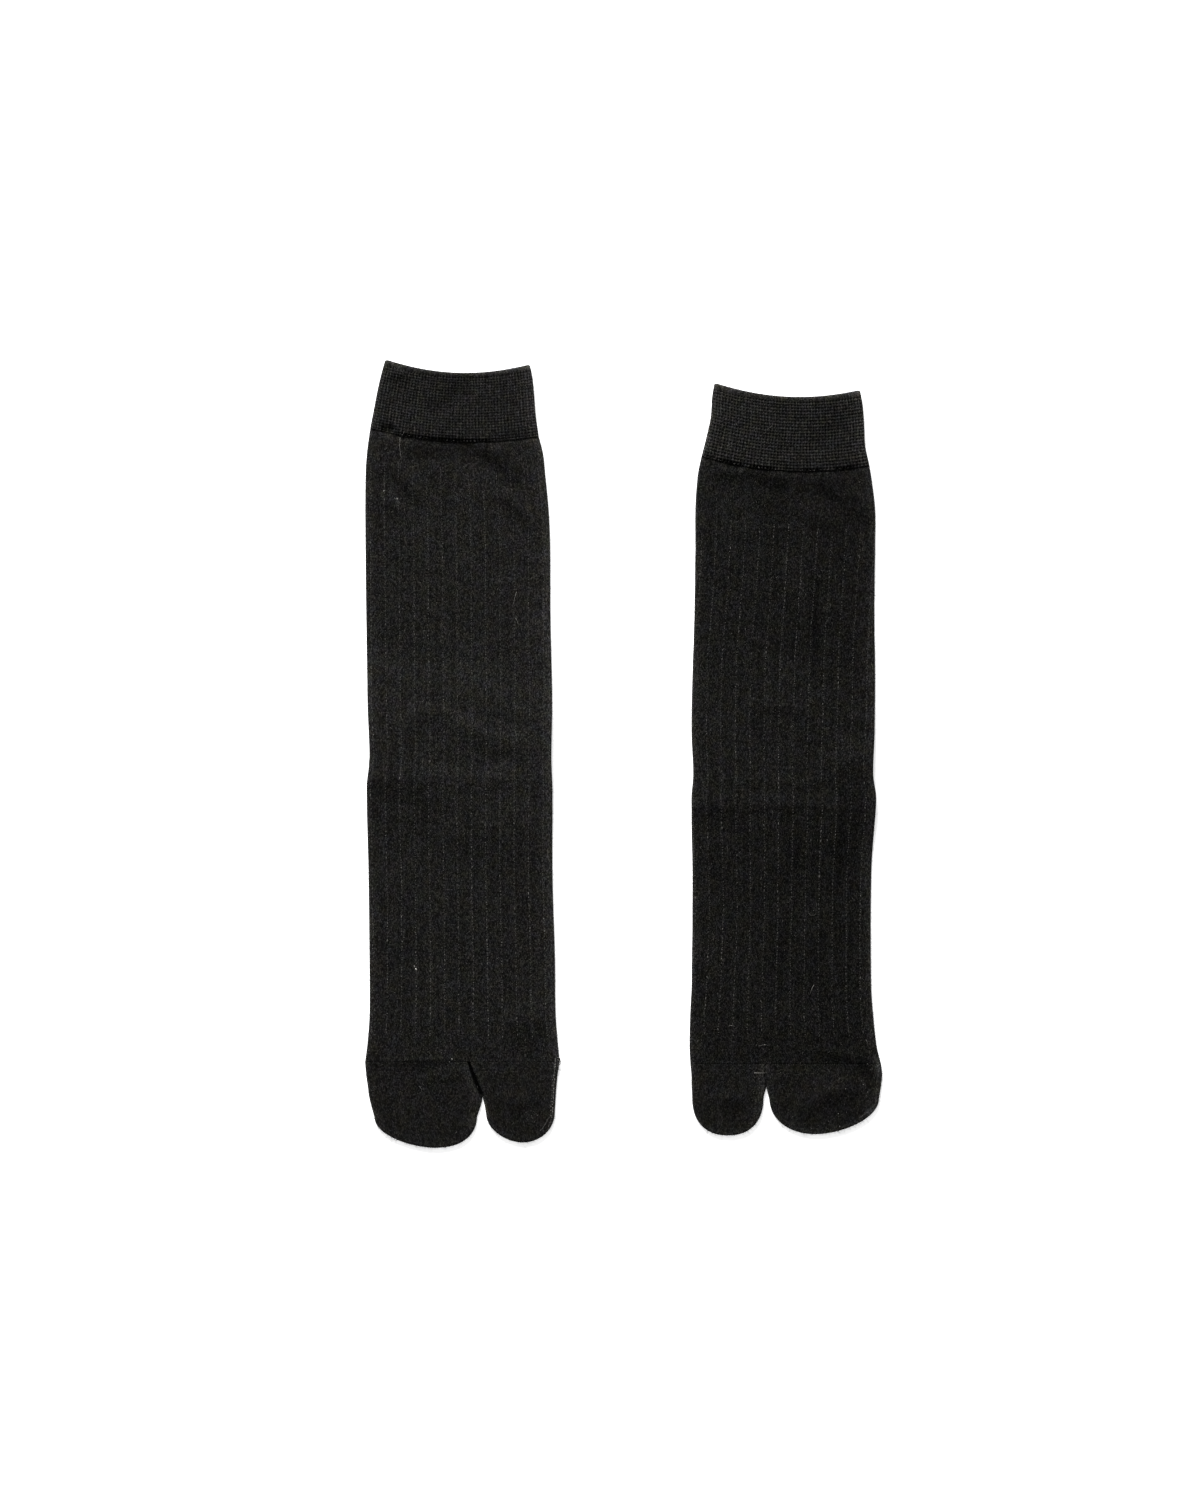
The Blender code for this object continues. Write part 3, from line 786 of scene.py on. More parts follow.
def body_raised(sock):
    """How much higher than a flat tube each point of the leg and foot lies."""
    end = sock.tube[-1].along

    def raised(x, y, front, edge):
        facing = smooth_step(front * 2 - 1)
        inner = smooth_step(edge / PUFF_EDGE)
        toe_fade = smooth_step((y - end) / PUFF_TOE_FADE)
        below = np.maximum(seam_line(sock, x) - y, 0.0)
        tight = pulled(sock, x)
        start = BULGE_QUICK + (BULGE_START - BULGE_QUICK) * tight
        flush = SEAM_FLUSH * (1 - tight)
        bulge = BULGE * np.exp(-below / BULGE_FADE)
        bulge = bulge * (flush + (1 - flush) * smooth_step(below / start))
        bulge = bulge * (1 - BULGE_TIGHT * tight * np.exp(-below / BULGE_TIGHT_FADE))
        gathers = GATHER_HIGH * np.sin(x / GATHER_WIDE + np.sin(x / GATHER_DRIFT))
        gathers = gathers * np.exp(-below / GATHER_FADE) * smooth_step(below / GATHER_START)
        puff = (PUFF + unevenness(x, y)) * inner * toe_fade
        soft = folds_height(sock.folds, x, y) * smooth_step(edge / FOLD_EDGE)
        soft = soft - GROOVE_DRAG * groove(sock, x, y)
        under = np.maximum(folds_height(sock.back_folds, x, y), 0) * inner
        sides_too = BULGE_SIDES + (1 - BULGE_SIDES) * inner
        over = settled(puff + soft) + bulge * sides_too + gathers * inner
        return lift(sock, x, y, front) + facing * over + (1 - facing) * under * BACK_FOLD_PART

    return raised


def cuff_raised(sock):
    """How much higher than a flat tube each point of the cuff lies."""

    def raised(x, y, front, edge):
        facing = smooth_step(front * 2 - 1)
        inner = smooth_step(edge / CUFF_PUFF_EDGE)
        soft = folds_height(sock.folds, x, y) - groove(sock, x, y)
        near_seam = 1 - smooth_step((y - seam_line(sock, x)) / CUFF_SINK_OVER)
        sink = CUFF_SINK * (1 - CUFF_SINK_TIGHT * pulled(sock, x)) * near_seam
        puff = inner * (CUFF_PUFF + unevenness(x, y) - sink)
        puff = puff - (1 - inner) * EDGE_SINK * near_seam
        return facing * (puff + soft * smooth_step(edge / FOLD_EDGE))

    return raised


def lobe_raised(sock):
    """How much higher than a flat pocket each point of a toe pocket's front lies."""

    def raised(x, y, level, rise):
        dome = LOBE_DOME * (1 - level**3) * rise
        inner = smooth_step((1 - level) * LOBE_EDGE)
        soft = folds_height(sock.folds, x, y) + LOBE_SWELL * unevenness(x, y) * rise
        return dome + (settled(soft) - settled(0.0)) * inner

    return raised


def nothing_raised(x, y, level, rise):
    """The folded heel pocket lies flat."""
    return np.zeros(np.broadcast(x, y).shape)


# Meshes.


def mesh_from(bm, name):
    """The bmesh as a mesh."""
    mesh = bpy.data.meshes.new(name)
    bm.to_mesh(mesh)
    bm.free()
    return mesh


def show(mesh, material):
    """The mesh in its material, as an object of the same name."""
    mesh.materials.append(material)
    thing = bpy.data.objects.new(mesh.name, mesh)
    bpy.context.collection.objects.link(thing)
    return thing


def new_piece(mesh, material):
    """The mesh as a piece that rides with the socks."""
    mesh.shade_smooth()
    piece = show(mesh, material)
    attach(piece, "root")
    return piece


def new_cloth():
    bm = bmesh.new()
    bm.loops.layers.uv.new("knit")
    for name in ("pit", "dye", "stripe"):
        bm.verts.layers.float.new(name)
    return bm


def lay_grid(bm, points, wales, courses, **layers):
    """A grid of cloth laid through the points, with its stitches counted in the UV map.

    Layers give each point's painted shade in pits, its tone with painted light, and its stripe.
    """
    rows, columns = points.shape[:2]
    knit = bm.loops.layers.uv.verify()
    places = (points * MM).tolist()
    wales = np.broadcast_to(wales, (rows, columns)).tolist()
    courses = np.broadcast_to(courses, (rows, columns)).tolist()
    values = [
        (bm.verts.layers.float[name], np.broadcast_to(value, (rows, columns)).tolist())
        for name, value in layers.items()
    ]
    grid = bmesh.ops.create_grid(bm, x_segments=columns - 1, y_segments=rows - 1, size=1)
    for vert in grid["verts"]:
        column = round((vert.co.x + 1) / 2 * (columns - 1))
        row = round((vert.co.y + 1) / 2 * (rows - 1))
        vert.co = places[row][column]
        for layer, value in values:
            vert[layer] = value[row][column]
        for loop in vert.link_loops:
            loop[knit].uv = (wales[row][column], courses[row][column])


def finish_cloth(bm, name, material):
    """The closed cloth as a piece."""
    bmesh.ops.remove_doubles(bm, verts=bm.verts, dist=1e-7)
    bmesh.ops.recalc_face_normals(bm, faces=bm.faces)
    return new_piece(mesh_from(bm, name), material)


def wale_share(sock, wale, along):
    """Where a wale lies round the tube at each Y, as a share of the way round."""
    places = [-lean.along for lean in sock.leans]
    shift = np.interp(-along, places, [lean.shift for lean in sock.leans])
    spread = np.interp(-along, places, [lean.spread for lean in sock.leans])
    turn = 2 * np.pi * (wale / WALES - 0.25)
    return (wale + shift + spread * np.sin(turn)) / WALES


def body_rows(top, end):
    """Y of the courses that get a row, closer together near both seams."""
    middle = np.linspace(top - SEAM_ROWS[-1], end + SEAM_ROWS[-1], BODY_ROWS)[1:-1]
    return np.concatenate([top - SEAM_ROWS, middle, end + SEAM_ROWS[::-1]])[:, None]


def stripe_share(sock, wale, along):
    """1 on a striped wale, falling off to nothing beside it and at its ends."""
    apart = (wale - FIRST_STRIPE + STRIPE_WALES / 2) % STRIPE_WALES - STRIPE_WALES / 2
    striped = np.exp(-((apart / STRIPE_HALF) ** 2))
    striped = striped * smooth_step((sock.stripe_top - along) / STRIPE_FADE)
    return striped * smooth_step((along - sock.stripe_end) / STRIPE_END_FADE)


def groove_painted_shade(sock, points):
    """The groove's painted shade: how much darker each point is painted, for the light it misses.
    """
    deep = groove(sock, points[..., 0], points[..., 1])
    return GROOVE_PAINTED_SHADE * np.clip(deep / GROOVE_FULL, 0, 1)


def make_body(sock, material):
    """The leg and foot: one knitted tube with a wall, open at both ends."""
    top, end = sock.tube[0].along, sock.tube[-1].along
    half_wales = np.arange(WALES * 2 + 1)[None, :]
    wale = half_wales / 2
    furrow = -WALE_DEEP * (half_wales % 2)
    outside = body_rows(top, end)
    inside = np.linspace(end, top, INNER_ROWS)[:, None]
    raised = body_raised(sock)
    outer, inner = [
        tube_points(sock.tube, wale_share(sock, wale, rows), rows, inset, TUBE_HIGH, out, raised)
        for rows, inset, out in ((outside, 0.0, furrow), (inside, WALL, 0.0))
    ]
    points = np.concatenate([outer, inner, outer[:1]])
    along = np.concatenate([outside, inside, outside[:1]])
    x, y = points[..., 0], points[..., 1]
    # Painted shade in the furrows between the wales and in the groove under the cuff.
    pits = np.clip(FURROW_PAINTED_SHADE * (furrow < 0) + groove_painted_shade(sock, points), 0, 1)
    # Painted light: highlights along both edges, light sloping across, and strokes of light and
    # shade.
    dye = sock.dye.leg * painted_light_across(x, *sides(sock.tube, along), sock.dye.faded, sock.dye.rim)
    dye = dye * painted_stroke_tone(sock, x, y)
    striped = stripe_share(sock, wale, along)
    bm = new_cloth()
    lay_grid(bm, points, wale, (top - along) / COURSE, pit=pits, dye=dye, stripe=striped)
    return finish_cloth(bm, f"{sock.side}_leg_and_foot", material)


def pit_depth(cell, up, level):
    """The waffle: 1 at the bottom of a pit, 0 on the wale beside it, level between two pits."""
    across = 0.5 - 0.5 * np.cos(2 * np.pi * cell)
    along = 0.5 - 0.5 * np.cos(2 * np.pi * up)
    return smooth_step(PIT_WIDE * across) * (level + (1 - level) * smooth_step(PIT_LONG * along))


def make_cuff(sock, material):
    """The cuff: a double welt in a waffle rib, with a rolled top edge."""
    top, end = sock.cuff[0].along, sock.cuff[-1].along
    cell = np.arange(CUFF_CELLS * CELL_STEPS + 1)[None, :] / CELL_STEPS
    share = cell / CUFF_CELLS
    ribbed = np.cos(2 * np.pi * cell)
    raised = cuff_raised(sock)

    cells_up = round((top - end - WAFFLE_SHORT) / sock.rib.cell_high)
    outside = np.linspace(end, top - RIM, cells_up * CELL_STEPS + 1)[:, None]
    up = (outside - end) / (top - RIM - end) * cells_up
    waffle = pit_depth(cell, up, sock.rib.between)
    fade = smooth_step((outside - end) / WAFFLE_FROM_SEAM)
    fade = fade * smooth_step((top - WAFFLE_TO_TOP - outside) / WAFFLE_TOP_FADE)
    pitted = -PIT_DEEP * waffle * fade
    outer = tube_points(sock.cuff, share, outside, 0.0, CUFF_HIGH, pitted, raised)

    turn = np.linspace(0, math.pi, RIM_STEPS + 1)[1:, None]
    rim_along = top - RIM + np.sin(turn) * RIM
    rim_inset = (1 - np.cos(turn)) * RIM
    rounded = RIM_PROUD * np.sin(turn) + RIM_SCALLOP * ribbed
    rim = tube_points(sock.cuff, share, rim_along, rim_inset, CUFF_HIGH, rounded, raised)
    inside = np.linspace(top - RIM, end, CUFF_INNER_ROWS)[1:, None]
    inner = tube_points(sock.cuff, share, inside, CUFF_WALL, CUFF_HIGH, 0.0, raised)
    points = np.concatenate([outer, rim, inner, outer[:1]])
    rows = np.concatenate([outside, rim_along, inside, outside[:1]])

    # Painted shade: ticks between the ribs and beads along the groove, and the waffle's pits.
    ticks = smooth_step(TICK_LEVEL - TICK_SHARP * ribbed) * pulled(sock, outer[..., 0])
    ticks = TICK_PAINTED_SHADE * ticks * np.exp(-(((outside - end) / TICK_LONG) ** 2))
    beaded = groove_painted_shade(sock, outer) * (BEAD_PAINTED_SHADE - BEAD_CHANGE * ribbed)
    outer_pits = np.clip(WAFFLE_PAINTED_SHADE * waffle * fade + beaded + ticks, 0, 1)
    plain = np.zeros((len(rim) + len(inner), cell.size))
    pits = np.concatenate([outer_pits, plain, outer_pits[:1]])
    x, y = points[..., 0], points[..., 1]
    # Painted highlights along the sides and the rolled top, and strokes of painted light and shade.
    dye = sock.dye.cuff * painted_light_across(x, *sides(sock.cuff, rows), sock.dye.faded / 2, sock.dye.rim)
    dye = dye * (1 + PALE_TOP * np.exp(-(top - rows) / PALE_OVER_TOP)) * painted_stroke_tone(sock, x, y)
    bm = new_cloth()
    lay_grid(bm, points, cell * 2, (top - rows) / COURSE, pit=pits, dye=dye)
    return finish_cloth(bm, f"{sock.side}_cuff_welt", material)


def straight_part(pocket):
    return abs(pocket.rows[0].along - pocket.rows[-1].along)


def pocket_reach(tip, c):
    """How far down its tip a pocket's column reaches. c is -1 at the left edge, 1 at the right."""
    return (1 - np.abs(c) ** tip.power) ** (1 / tip.power)


def pocket_points(pocket, c, gone, inset, half_high, side, furrow, apart):
    """Points of a pocket's front or back. Gone is 0 at its mouth, then mm down each column."""
    start, last = pocket.rows[0], pocket.rows[-1]
    straight = straight_part(pocket)
    reach = pocket.tip.reach - inset
    v = np.maximum(gone - straight, 0.0) / reach
    y_straight = start.along + pocket.towards * np.minimum(gone, straight)
    y = np.where(gone <= straight, y_straight, last.along + pocket.towards * reach * v)
    left, right = sides(pocket.rows, y_straight, inset, PROUD)
    half = (right - left) / 2
    x = (left + right) / 2 + c * half + pocket.tip.drift * v**2
    p = pocket.tip.power
    level = np.minimum((np.abs(c) ** p + v**p) ** (1 / p), 1.0)
    steep_x = (np.abs(c) / np.maximum(level, 1e-6)) ** (p - 1) / half
    steep_y = (v / np.maximum(level, 1e-6)) ** (p - 1) / reach
    from_edge = (1 - level) / np.sqrt(steep_x**2 + steep_y**2 + 1e-12)
    gap = 1 - np.minimum(from_edge / half_high, 1.0)
    thick = (half_high - furrow * smooth_step(from_edge / FURROW_EDGE)) * np.sqrt(1 - gap**2)
    middle = TUBE_HIGH / 2
    z = middle + side * thick
    if apart:
        from_side = (1 - c * np.sign(apart)) * half
        near = np.exp(-((from_side / SLIT_PRESS) ** 2)) * (gone < straight + SLIT_PAST)
        x = x - apart * near * smooth_step(z / middle - SLIT_UPPER)
    if side > 0:
        z = z + pocket.raised(x, y, level, smooth_step(gone / LOBE_RISE))
    return np.stack([x, y, z + np.zeros(x.shape)], axis=-1)


def painted_slit_shade(sock, from_slit, gone):
    """How dark the painted shade between the toe pockets is, at each distance from the slit."""
    half = SLIT_HALF * (SLIT_TIP + (1 - SLIT_TIP) * smooth_step(gone / SLIT_OPENS))
    shade = sock.slit.dark * np.exp(-((from_slit / half) ** 4))
    return shade * smooth_step((sock.slit.long - gone) / SLIT_END)


def make_pocket(sock, pocket, material):
    """A knitted pocket with a wall, open at its mouth, its wales running straight to its edge."""
    wide = pocket.rows[0].right - pocket.rows[0].left
    straight = straight_part(pocket)
    wale_count = round(wide / WALE_WIDE)
    half_wales = np.arange(1, wale_count * 2)
    close = SIDE_COLUMNS / wide
    share = np.concatenate([[0.0], close, half_wales / (wale_count * 2), 1 - close[::-1], [1.0]])
    c = (2 * share - 1)[None, :]
    wale = (share * wale_count)[None, :]
    plain = np.zeros(len(close) + 1)
    odd = np.concatenate([plain, half_wales % 2, plain])[None, :]
    outer_length = straight + pocket.tip.reach * pocket_reach(pocket.tip, c)
    inner_length = straight + (pocket.tip.reach - WALL) * pocket_reach(pocket.tip, c)
    near_edge = EDGE_ROWS[:, None] * np.minimum(outer_length / EDGE_ROWS_FULL, 1.0)
    steps = np.linspace(1, 0, LOBE_ROWS)[1:, None]
    outer_gone = np.concatenate([outer_length - near_edge, (outer_length - near_edge[-1:]) * steps])
    inner_gone = inner_length * np.linspace(0, 1, LOBE_INNER_ROWS)[:, None]
    gone = np.concatenate([outer_gone, inner_gone])

    # Painted shade in the slit between the toe pockets and in the furrows between the wales.
    shaded = np.zeros(gone.shape)
    if pocket.slit:
        shaded = painted_slit_shade(sock, np.abs(c - pocket.slit) * wide / 2, gone)
    pits = np.maximum(odd * FURROW_PAINTED_SHADE, shaded)
    # Painted highlights along the edges and round the tip, left out where the slit is painted dark.
    from_left, from_right = (1 + c) * wide / 2, (1 - c) * wide / 2
    from_end = np.maximum(outer_length - gone, 0.0)
    pale = PALE_LEFT * np.exp(-np.minimum(from_end, from_left) / PALE_OVER_LEFT)
    pale = pale * (PALE_TOES if pocket.slit else 1.0)
    pale = pale + PALE_RIGHT * np.exp(-from_right / PALE_OVER_RIGHT)
    dye = pocket.dye * (1 + sock.dye.rim * pale * (1 - shaded))
    bm = new_cloth()
    for side in (1, -1):
        apart = pocket.slit * sock.slit.apart
        furrow = odd * WALE_DEEP
        outer = pocket_points(pocket, c, outer_gone, 0.0, TUBE_HIGH / 2, side, furrow, apart)
        inner = pocket_points(pocket, c, inner_gone, WALL, HOLLOW / 2, side, 0.0, 0)
        points = np.concatenate([outer, inner])
        # Strokes of painted light and shade, on the toe pockets only.
        tone = dye * painted_stroke_tone(sock, points[..., 0], points[..., 1]) if pocket.slit else dye
        lay_grid(bm, points, wale, gone / COURSE, pit=pits, dye=tone)
    return finish_cloth(bm, f"{sock.side}_{pocket.name}_pocket", material)


def heel_rows(sock):
    """The heel pocket's straight start, from its mouth at the fold."""
    mouth = sock.heel.fold + SEAM_GAP
    left, right = sides(sock.tube, np.array(mouth), SEAM_GAP)
    return (Station(sock.heel.fold - HEEL_START, left, right), Station(mouth, left, right))


# Finishes.


def new_material(name):
    """A material, its nodes and its shader."""
    material = bpy.data.materials.new(name)
    material.use_nodes = True
    tree = material.node_tree
    return material, tree, tree.nodes["Principled BSDF"]


def add(tree, kind, links=None, **settings):
    """A node with its settings, its inputs linked to sockets or set to values."""
    node = tree.nodes.new(kind)
    for key, value in settings.items():
        setattr(node, key, value)
    for key, value in (links or {}).items():
        if isinstance(value, bpy.types.NodeSocket):
            tree.links.new(value, node.inputs[key])
        else:
            node.inputs[key].default_value = value
    return node


def work(tree, operation, first, second=0.0, third=0.0):
    """The answer of one sum."""
    node = add(tree, "ShaderNodeMath", {0: first, 1: second, 2: third}, operation=operation)
    return node.outputs[0]


def work_colour(tree, operation, links):
    """The answer of one sum with colours."""
    return add(tree, "ShaderNodeVectorMath", links, operation=operation).outputs[0]


def noise(tree, place, scale, detail, **settings):
    links = {"Vector": place, "Scale": scale, "Detail": detail}
    return add(tree, "ShaderNodeTexNoise", links, **settings)


def attribute(tree, name):
    return add(tree, "ShaderNodeAttribute", attribute_name=name).outputs["Fac"]


def raise_surface(tree, shader, height, strength, distance):
    links = {"Height": height, "Strength": strength, "Distance": distance}
    bumped = add(tree, "ShaderNodeBump", links)
    tree.links.new(bumped.outputs["Normal"], shader.inputs["Normal"])


def make_matt(shader):
    """Yarn doesn't gleam: it only has a faint sheen."""
    shader.inputs["Specular IOR Level"].default_value = 0.0
    shader.inputs["Sheen Weight"].default_value = SHEEN


def stitch_pattern(tree, slant):
    """Sockets of the knit: height of the stitches, a number for each strand, and the count."""
    uv = add(tree, "ShaderNodeUVMap", uv_map="knit").outputs["UV"]
    counted = add(tree, "ShaderNodeSeparateXYZ", {"Vector": uv})
    wale = work(tree, "ADD", counted.outputs["X"], 0.5)
    side = work(tree, "ABSOLUTE", work(tree, "SUBTRACT", work(tree, "FRACT", wale), 0.5))
    course = work(tree, "MULTIPLY_ADD", side, slant, counted.outputs["Y"])
    strand = work(tree, "SINE", work(tree, "MULTIPLY", side, 2 * math.pi))
    loop = work(tree, "SINE", work(tree, "MULTIPLY", work(tree, "FRACT", course), math.pi))
    loop_part = work(tree, "MULTIPLY_ADD", loop, LOOP_CHANGE, LOOP_LEAST)
    height = work(tree, "MULTIPLY", work(tree, "POWER", strand, STITCH_ROUND), loop_part)
    half_wale = work(tree, "FLOOR", work(tree, "MULTIPLY", wale, 2.0))
    corner = {"X": half_wale, "Y": work(tree, "FLOOR", course)}
    place = add(tree, "ShaderNodeCombineXYZ", corner).outputs[0]
    grain = add(tree, "ShaderNodeTexWhiteNoise", {"Vector": place}, noise_dimensions="2D")
    return height, grain.outputs["Value"], counted


def vary(tree, power, value, part):
    """The power of a tone, raised or lowered by up to half the part as the value goes 0 to 1."""
    return work(tree, "ADD", work(tree, "MULTIPLY_ADD", value, part, -part / 2), power)


def knit_finish(
    name, base, fuzz_part, slant=1.1, bump=0.6, grain_part=1.8, painted_shade_part=0.85, stripe_part=0.0
):
    """Black knit: V stitches with fuzzy yarn, each strand lighter or darker than the next.

    Painted shade part is how dark a pit is painted, and stripe part how much paler a pinstripe is.
    """
    material, tree, shader = new_material(name)
    height, grain, counted = stitch_pattern(tree, slant)
    place = add(tree, "ShaderNodeTexCoord").outputs["Object"]
    fuzz = noise(tree, place, FUZZ_FINE, 2.0).outputs["Fac"]
    cloud = noise(tree, place, CLOUD_FINE, 3.0).outputs["Fac"]
    long_way = {
        "X": counted.outputs["X"],
        "Y": work(tree, "MULTIPLY", counted.outputs["Y"], STREAK_SHORTER),
    }
    streak_place = add(tree, "ShaderNodeCombineXYZ", long_way).outputs[0]
    streak = noise(tree, streak_place, STREAK_FINE, 2.0, noise_dimensions="2D").outputs["Fac"]
    power = vary(tree, 0.0, grain, grain_part)
    power = vary(tree, power, fuzz, fuzz_part)
    power = vary(tree, power, streak, STREAK_PART)
    power = vary(tree, power, cloud, CLOUD_PART)
    power = vary(tree, power, height, STITCH_PART)
    power = work(tree, "MULTIPLY_ADD", attribute(tree, "stripe"), stripe_part, power)
    tone = work(tree, "POWER", math.e, power)
    # Painted shade: the pit attribute darkens the colour where less light gets in.
    lit = work(tree, "MULTIPLY_ADD", attribute(tree, "pit"), -painted_shade_part, 1.0)
    # The part's tone, with painted highlights and strokes of painted light and shade multiplied in.
    dye = attribute(tree, "dye")
    tone = work(tree, "MULTIPLY", work(tree, "MULTIPLY", tone, lit), dye)
    heather = noise(tree, place, HEATHER_FINE, 3.0).outputs["Color"]
    least = tuple(1 - part / 2 for part in HEATHER)
    tint = work_colour(tree, "MULTIPLY_ADD", {0: heather, 1: HEATHER, 2: least})
    shade = work_colour(tree, "MULTIPLY", {0: base, 1: tint})
    colour = work_colour(tree, "SCALE", {0: shade, "Scale": tone})
    tree.links.new(colour, shader.inputs["Base Color"])
    rough = work(tree, "MULTIPLY_ADD", grain, -ROUGH_CHANGE, ROUGH_MOST)
    tree.links.new(rough, shader.inputs["Roughness"])
    relief = work(tree, "MULTIPLY_ADD", grain, GRAIN_RELIEF, height)
    relief = work(tree, "MULTIPLY_ADD", fuzz, FUZZ_RELIEF, relief)
    raise_surface(tree, shader, relief, bump, STITCH_RELIEF)
    make_matt(shader)
    shader.inputs["Sheen Roughness"].default_value = 0.3
    shader.inputs["Sheen Tint"].default_value = (0.6, 0.6, 0.6, 1)
    return material


def thread_finish(name, dark, light):
    """Yarn in its own tone, from dark to light by the tone of each stitch."""
    material, tree, shader = new_material(name)
    tone = attribute(tree, "tone")
    place = add(tree, "ShaderNodeTexCoord").outputs["Object"]
    twist = noise(tree, place, TWIST_FINE, 2.0).outputs["Fac"]
    factor = work(tree, "MULTIPLY", tone, work(tree, "ADD", twist, 0.5))
    factor = work(tree, "POWER", factor, THREAD_CONTRAST)
    mixed = {"Factor": factor, 6: (*dark, 1), 7: (*light, 1)}
    colour = add(tree, "ShaderNodeMix", mixed, data_type="RGBA").outputs[2]
    tree.links.new(colour, shader.inputs["Base Color"])
    raise_surface(tree, shader, twist, 0.4, TWIST_RELIEF)
    shader.inputs["Roughness"].default_value = 0.8
    make_matt(shader)
    return material


# Small things, joined.


def bead():
    """One stitch's strand, a unit ball of 20 faces."""
    bm = bmesh.new()
    bmesh.ops.create_icosphere(bm, subdivisions=1, radius=1.0)
    return mesh_from(bm, "bead")


def strand(steps):
    """A straight strand of three sides with closed ends, a unit long and thick, from its root."""
    bm = bmesh.new()
    bmesh.ops.create_cone(
        bm, cap_ends=True, cap_tris=True, segments=3, radius1=1.0, radius2=1.0, depth=1.0
    )
    long_edges = [edge for edge in bm.edges if abs(edge.verts[0].co.z - edge.verts[1].co.z) > 0.5]
    bmesh.ops.subdivide_edges(bm, edges=long_edges, cuts=steps - 1)
    bmesh.ops.translate(bm, verts=bm.verts, vec=(0, 0, 0.5))
    return mesh_from(bm, "strand")


def corners(mesh):
    points = np.zeros(len(mesh.vertices) * 3)
    mesh.vertices.foreach_get("co", points)
    return points.reshape(-1, 3)


def joined(name, template, points, tones, material):
    """Copies of a small mesh in one piece, with the points (in mm) and the tone of each copy."""
    bm = bmesh.new()
    for _ in range(len(points)):
        bm.from_mesh(template)
    mesh = mesh_from(bm, name)
    mesh.vertices.foreach_set("co", (points * MM).ravel())
    toned = mesh.attributes.new("tone", "FLOAT", "POINT")
    toned.data.foreach_set("value", np.repeat(tones, points.shape[1]))
    return new_piece(mesh, material)


def unit(vectors):
    return vectors / np.maximum(np.linalg.norm(vectors, axis=-1, keepdims=True), 1e-9)


def columns_of(rows):
    """Each column of a list of rows, as an array."""
    return [np.array(column) for column in zip(*rows)]


def bead_points(template, centre, out, run, wide, long, high):
    """Beads lying on a surface: long along run, high along out."""
    across = unit(np.cross(run, out))
    run = np.cross(out, across)
    co = corners(template)
    return (
        centre[:, None]
        + across[:, None] * co[:, 0:1] * np.reshape(wide, (-1, 1, 1))
        + run[:, None] * co[:, 1:2] * np.reshape(long, (-1, 1, 1))
        + out[:, None] * co[:, 2:3] * np.reshape(high, (-1, 1, 1))
    )


def strand_points(template, start, bend, end, thick):
    """Strands that follow a curve from start over bend to end, thinner towards the end."""
    co = corners(template)
    t = co[None, :, 2:3]
    start, bend, end = start[:, None], bend[:, None], end[:, None]
    middle = (1 - t) ** 2 * start + 2 * t * (1 - t) * bend + t**2 * end
    run = unit((1 - t) * (bend - start) + t * (end - bend) + 1e-6)
    across = unit(np.cross(run, ANY_WAY))
    up = np.cross(across, run)
    radius = np.reshape(thick, (-1, 1, 1)) / 2 * (1 - STRAND_TAPER * t)
    return middle + radius * (up * co[None, :, 0:1] - across * co[None, :, 1:2])


def surface_of(pieces):
    """The surface of several pieces, to lay things on."""
    bm = bmesh.new()
    for piece in pieces:
        bm.from_mesh(piece.data)
    tree = BVHTree.FromBMesh(bm)
    bm.free()
    return tree


def laid_on(tree, x, y):
    """The point of the surface at (x, y), and the way out. Beside it, the nearest of its edge."""
    hit, normal = tree.ray_cast(Vector((x * MM, y * MM, HIGH_UP)), DOWN)[:2]
    if hit is None:
        hit, normal = tree.find_nearest(Vector((x * MM, y * MM, EDGE_LEVEL)))[:2]
    return np.array(hit) / MM, np.array(normal)


def body_surface(sock, wale, along):
    """Points on the outside of the leg and foot, and the way out, at arrays of wale and Y."""
    share = wale_share(sock, wale, along)
    raised = body_raised(sock)
    point = tube_points(sock.tube, share, along, 0.0, TUBE_HIGH, 0.0, raised)
    above = tube_points(sock.tube, share, along, 0.0, TUBE_HIGH, 0.2, raised)
    return point, unit(above - point)


def make_pinstripes(sock, template, material, chance):
    """The dashes of the pinstripes, all round the leg and foot."""
    dashes = []
    for stripe in range(WALES // STRIPE_WALES):
        along = sock.stripe_top - chance.uniform(0, 12)
        next_change = math.inf
        while along > sock.stripe_end:
            if along < next_change:
                strength = chance.uniform(0.35, 1.0)
                next_change = along - chance.uniform(12, 45)
            long = COURSE * chance.choice(DASHES)
            wale = FIRST_STRIPE + stripe * STRIPE_WALES + chance.gauss(0, STITCH_ASTRAY)
            growth = 1 + sock.stripe_growth * (GROWTH_FROM - along)
            tone = strength * growth * chance.uniform(0.15, 1.0) ** 1.5
            dashes.append((wale, along - long / 2, long / 2, tone, chance.uniform(-0.3, 0.3)))
            along -= long + COURSE * chance.choice(GAPS)
    wales, alongs, halves, tones, leans = columns_of(dashes)
    point, out = body_surface(sock, wales, alongs)
    sunk = np.where(out[:, 2:3] < 0, DASH_HIGH, 0.0)
    run = np.stack([leans, np.ones(len(leans)), np.zeros(len(leans))], axis=-1)
    points = bead_points(template, point - out * sunk, out, run, DASH_HALF, halves, DASH_HIGH)
    return joined(f"{sock.side}_pinstripes", template, points, tones, material)


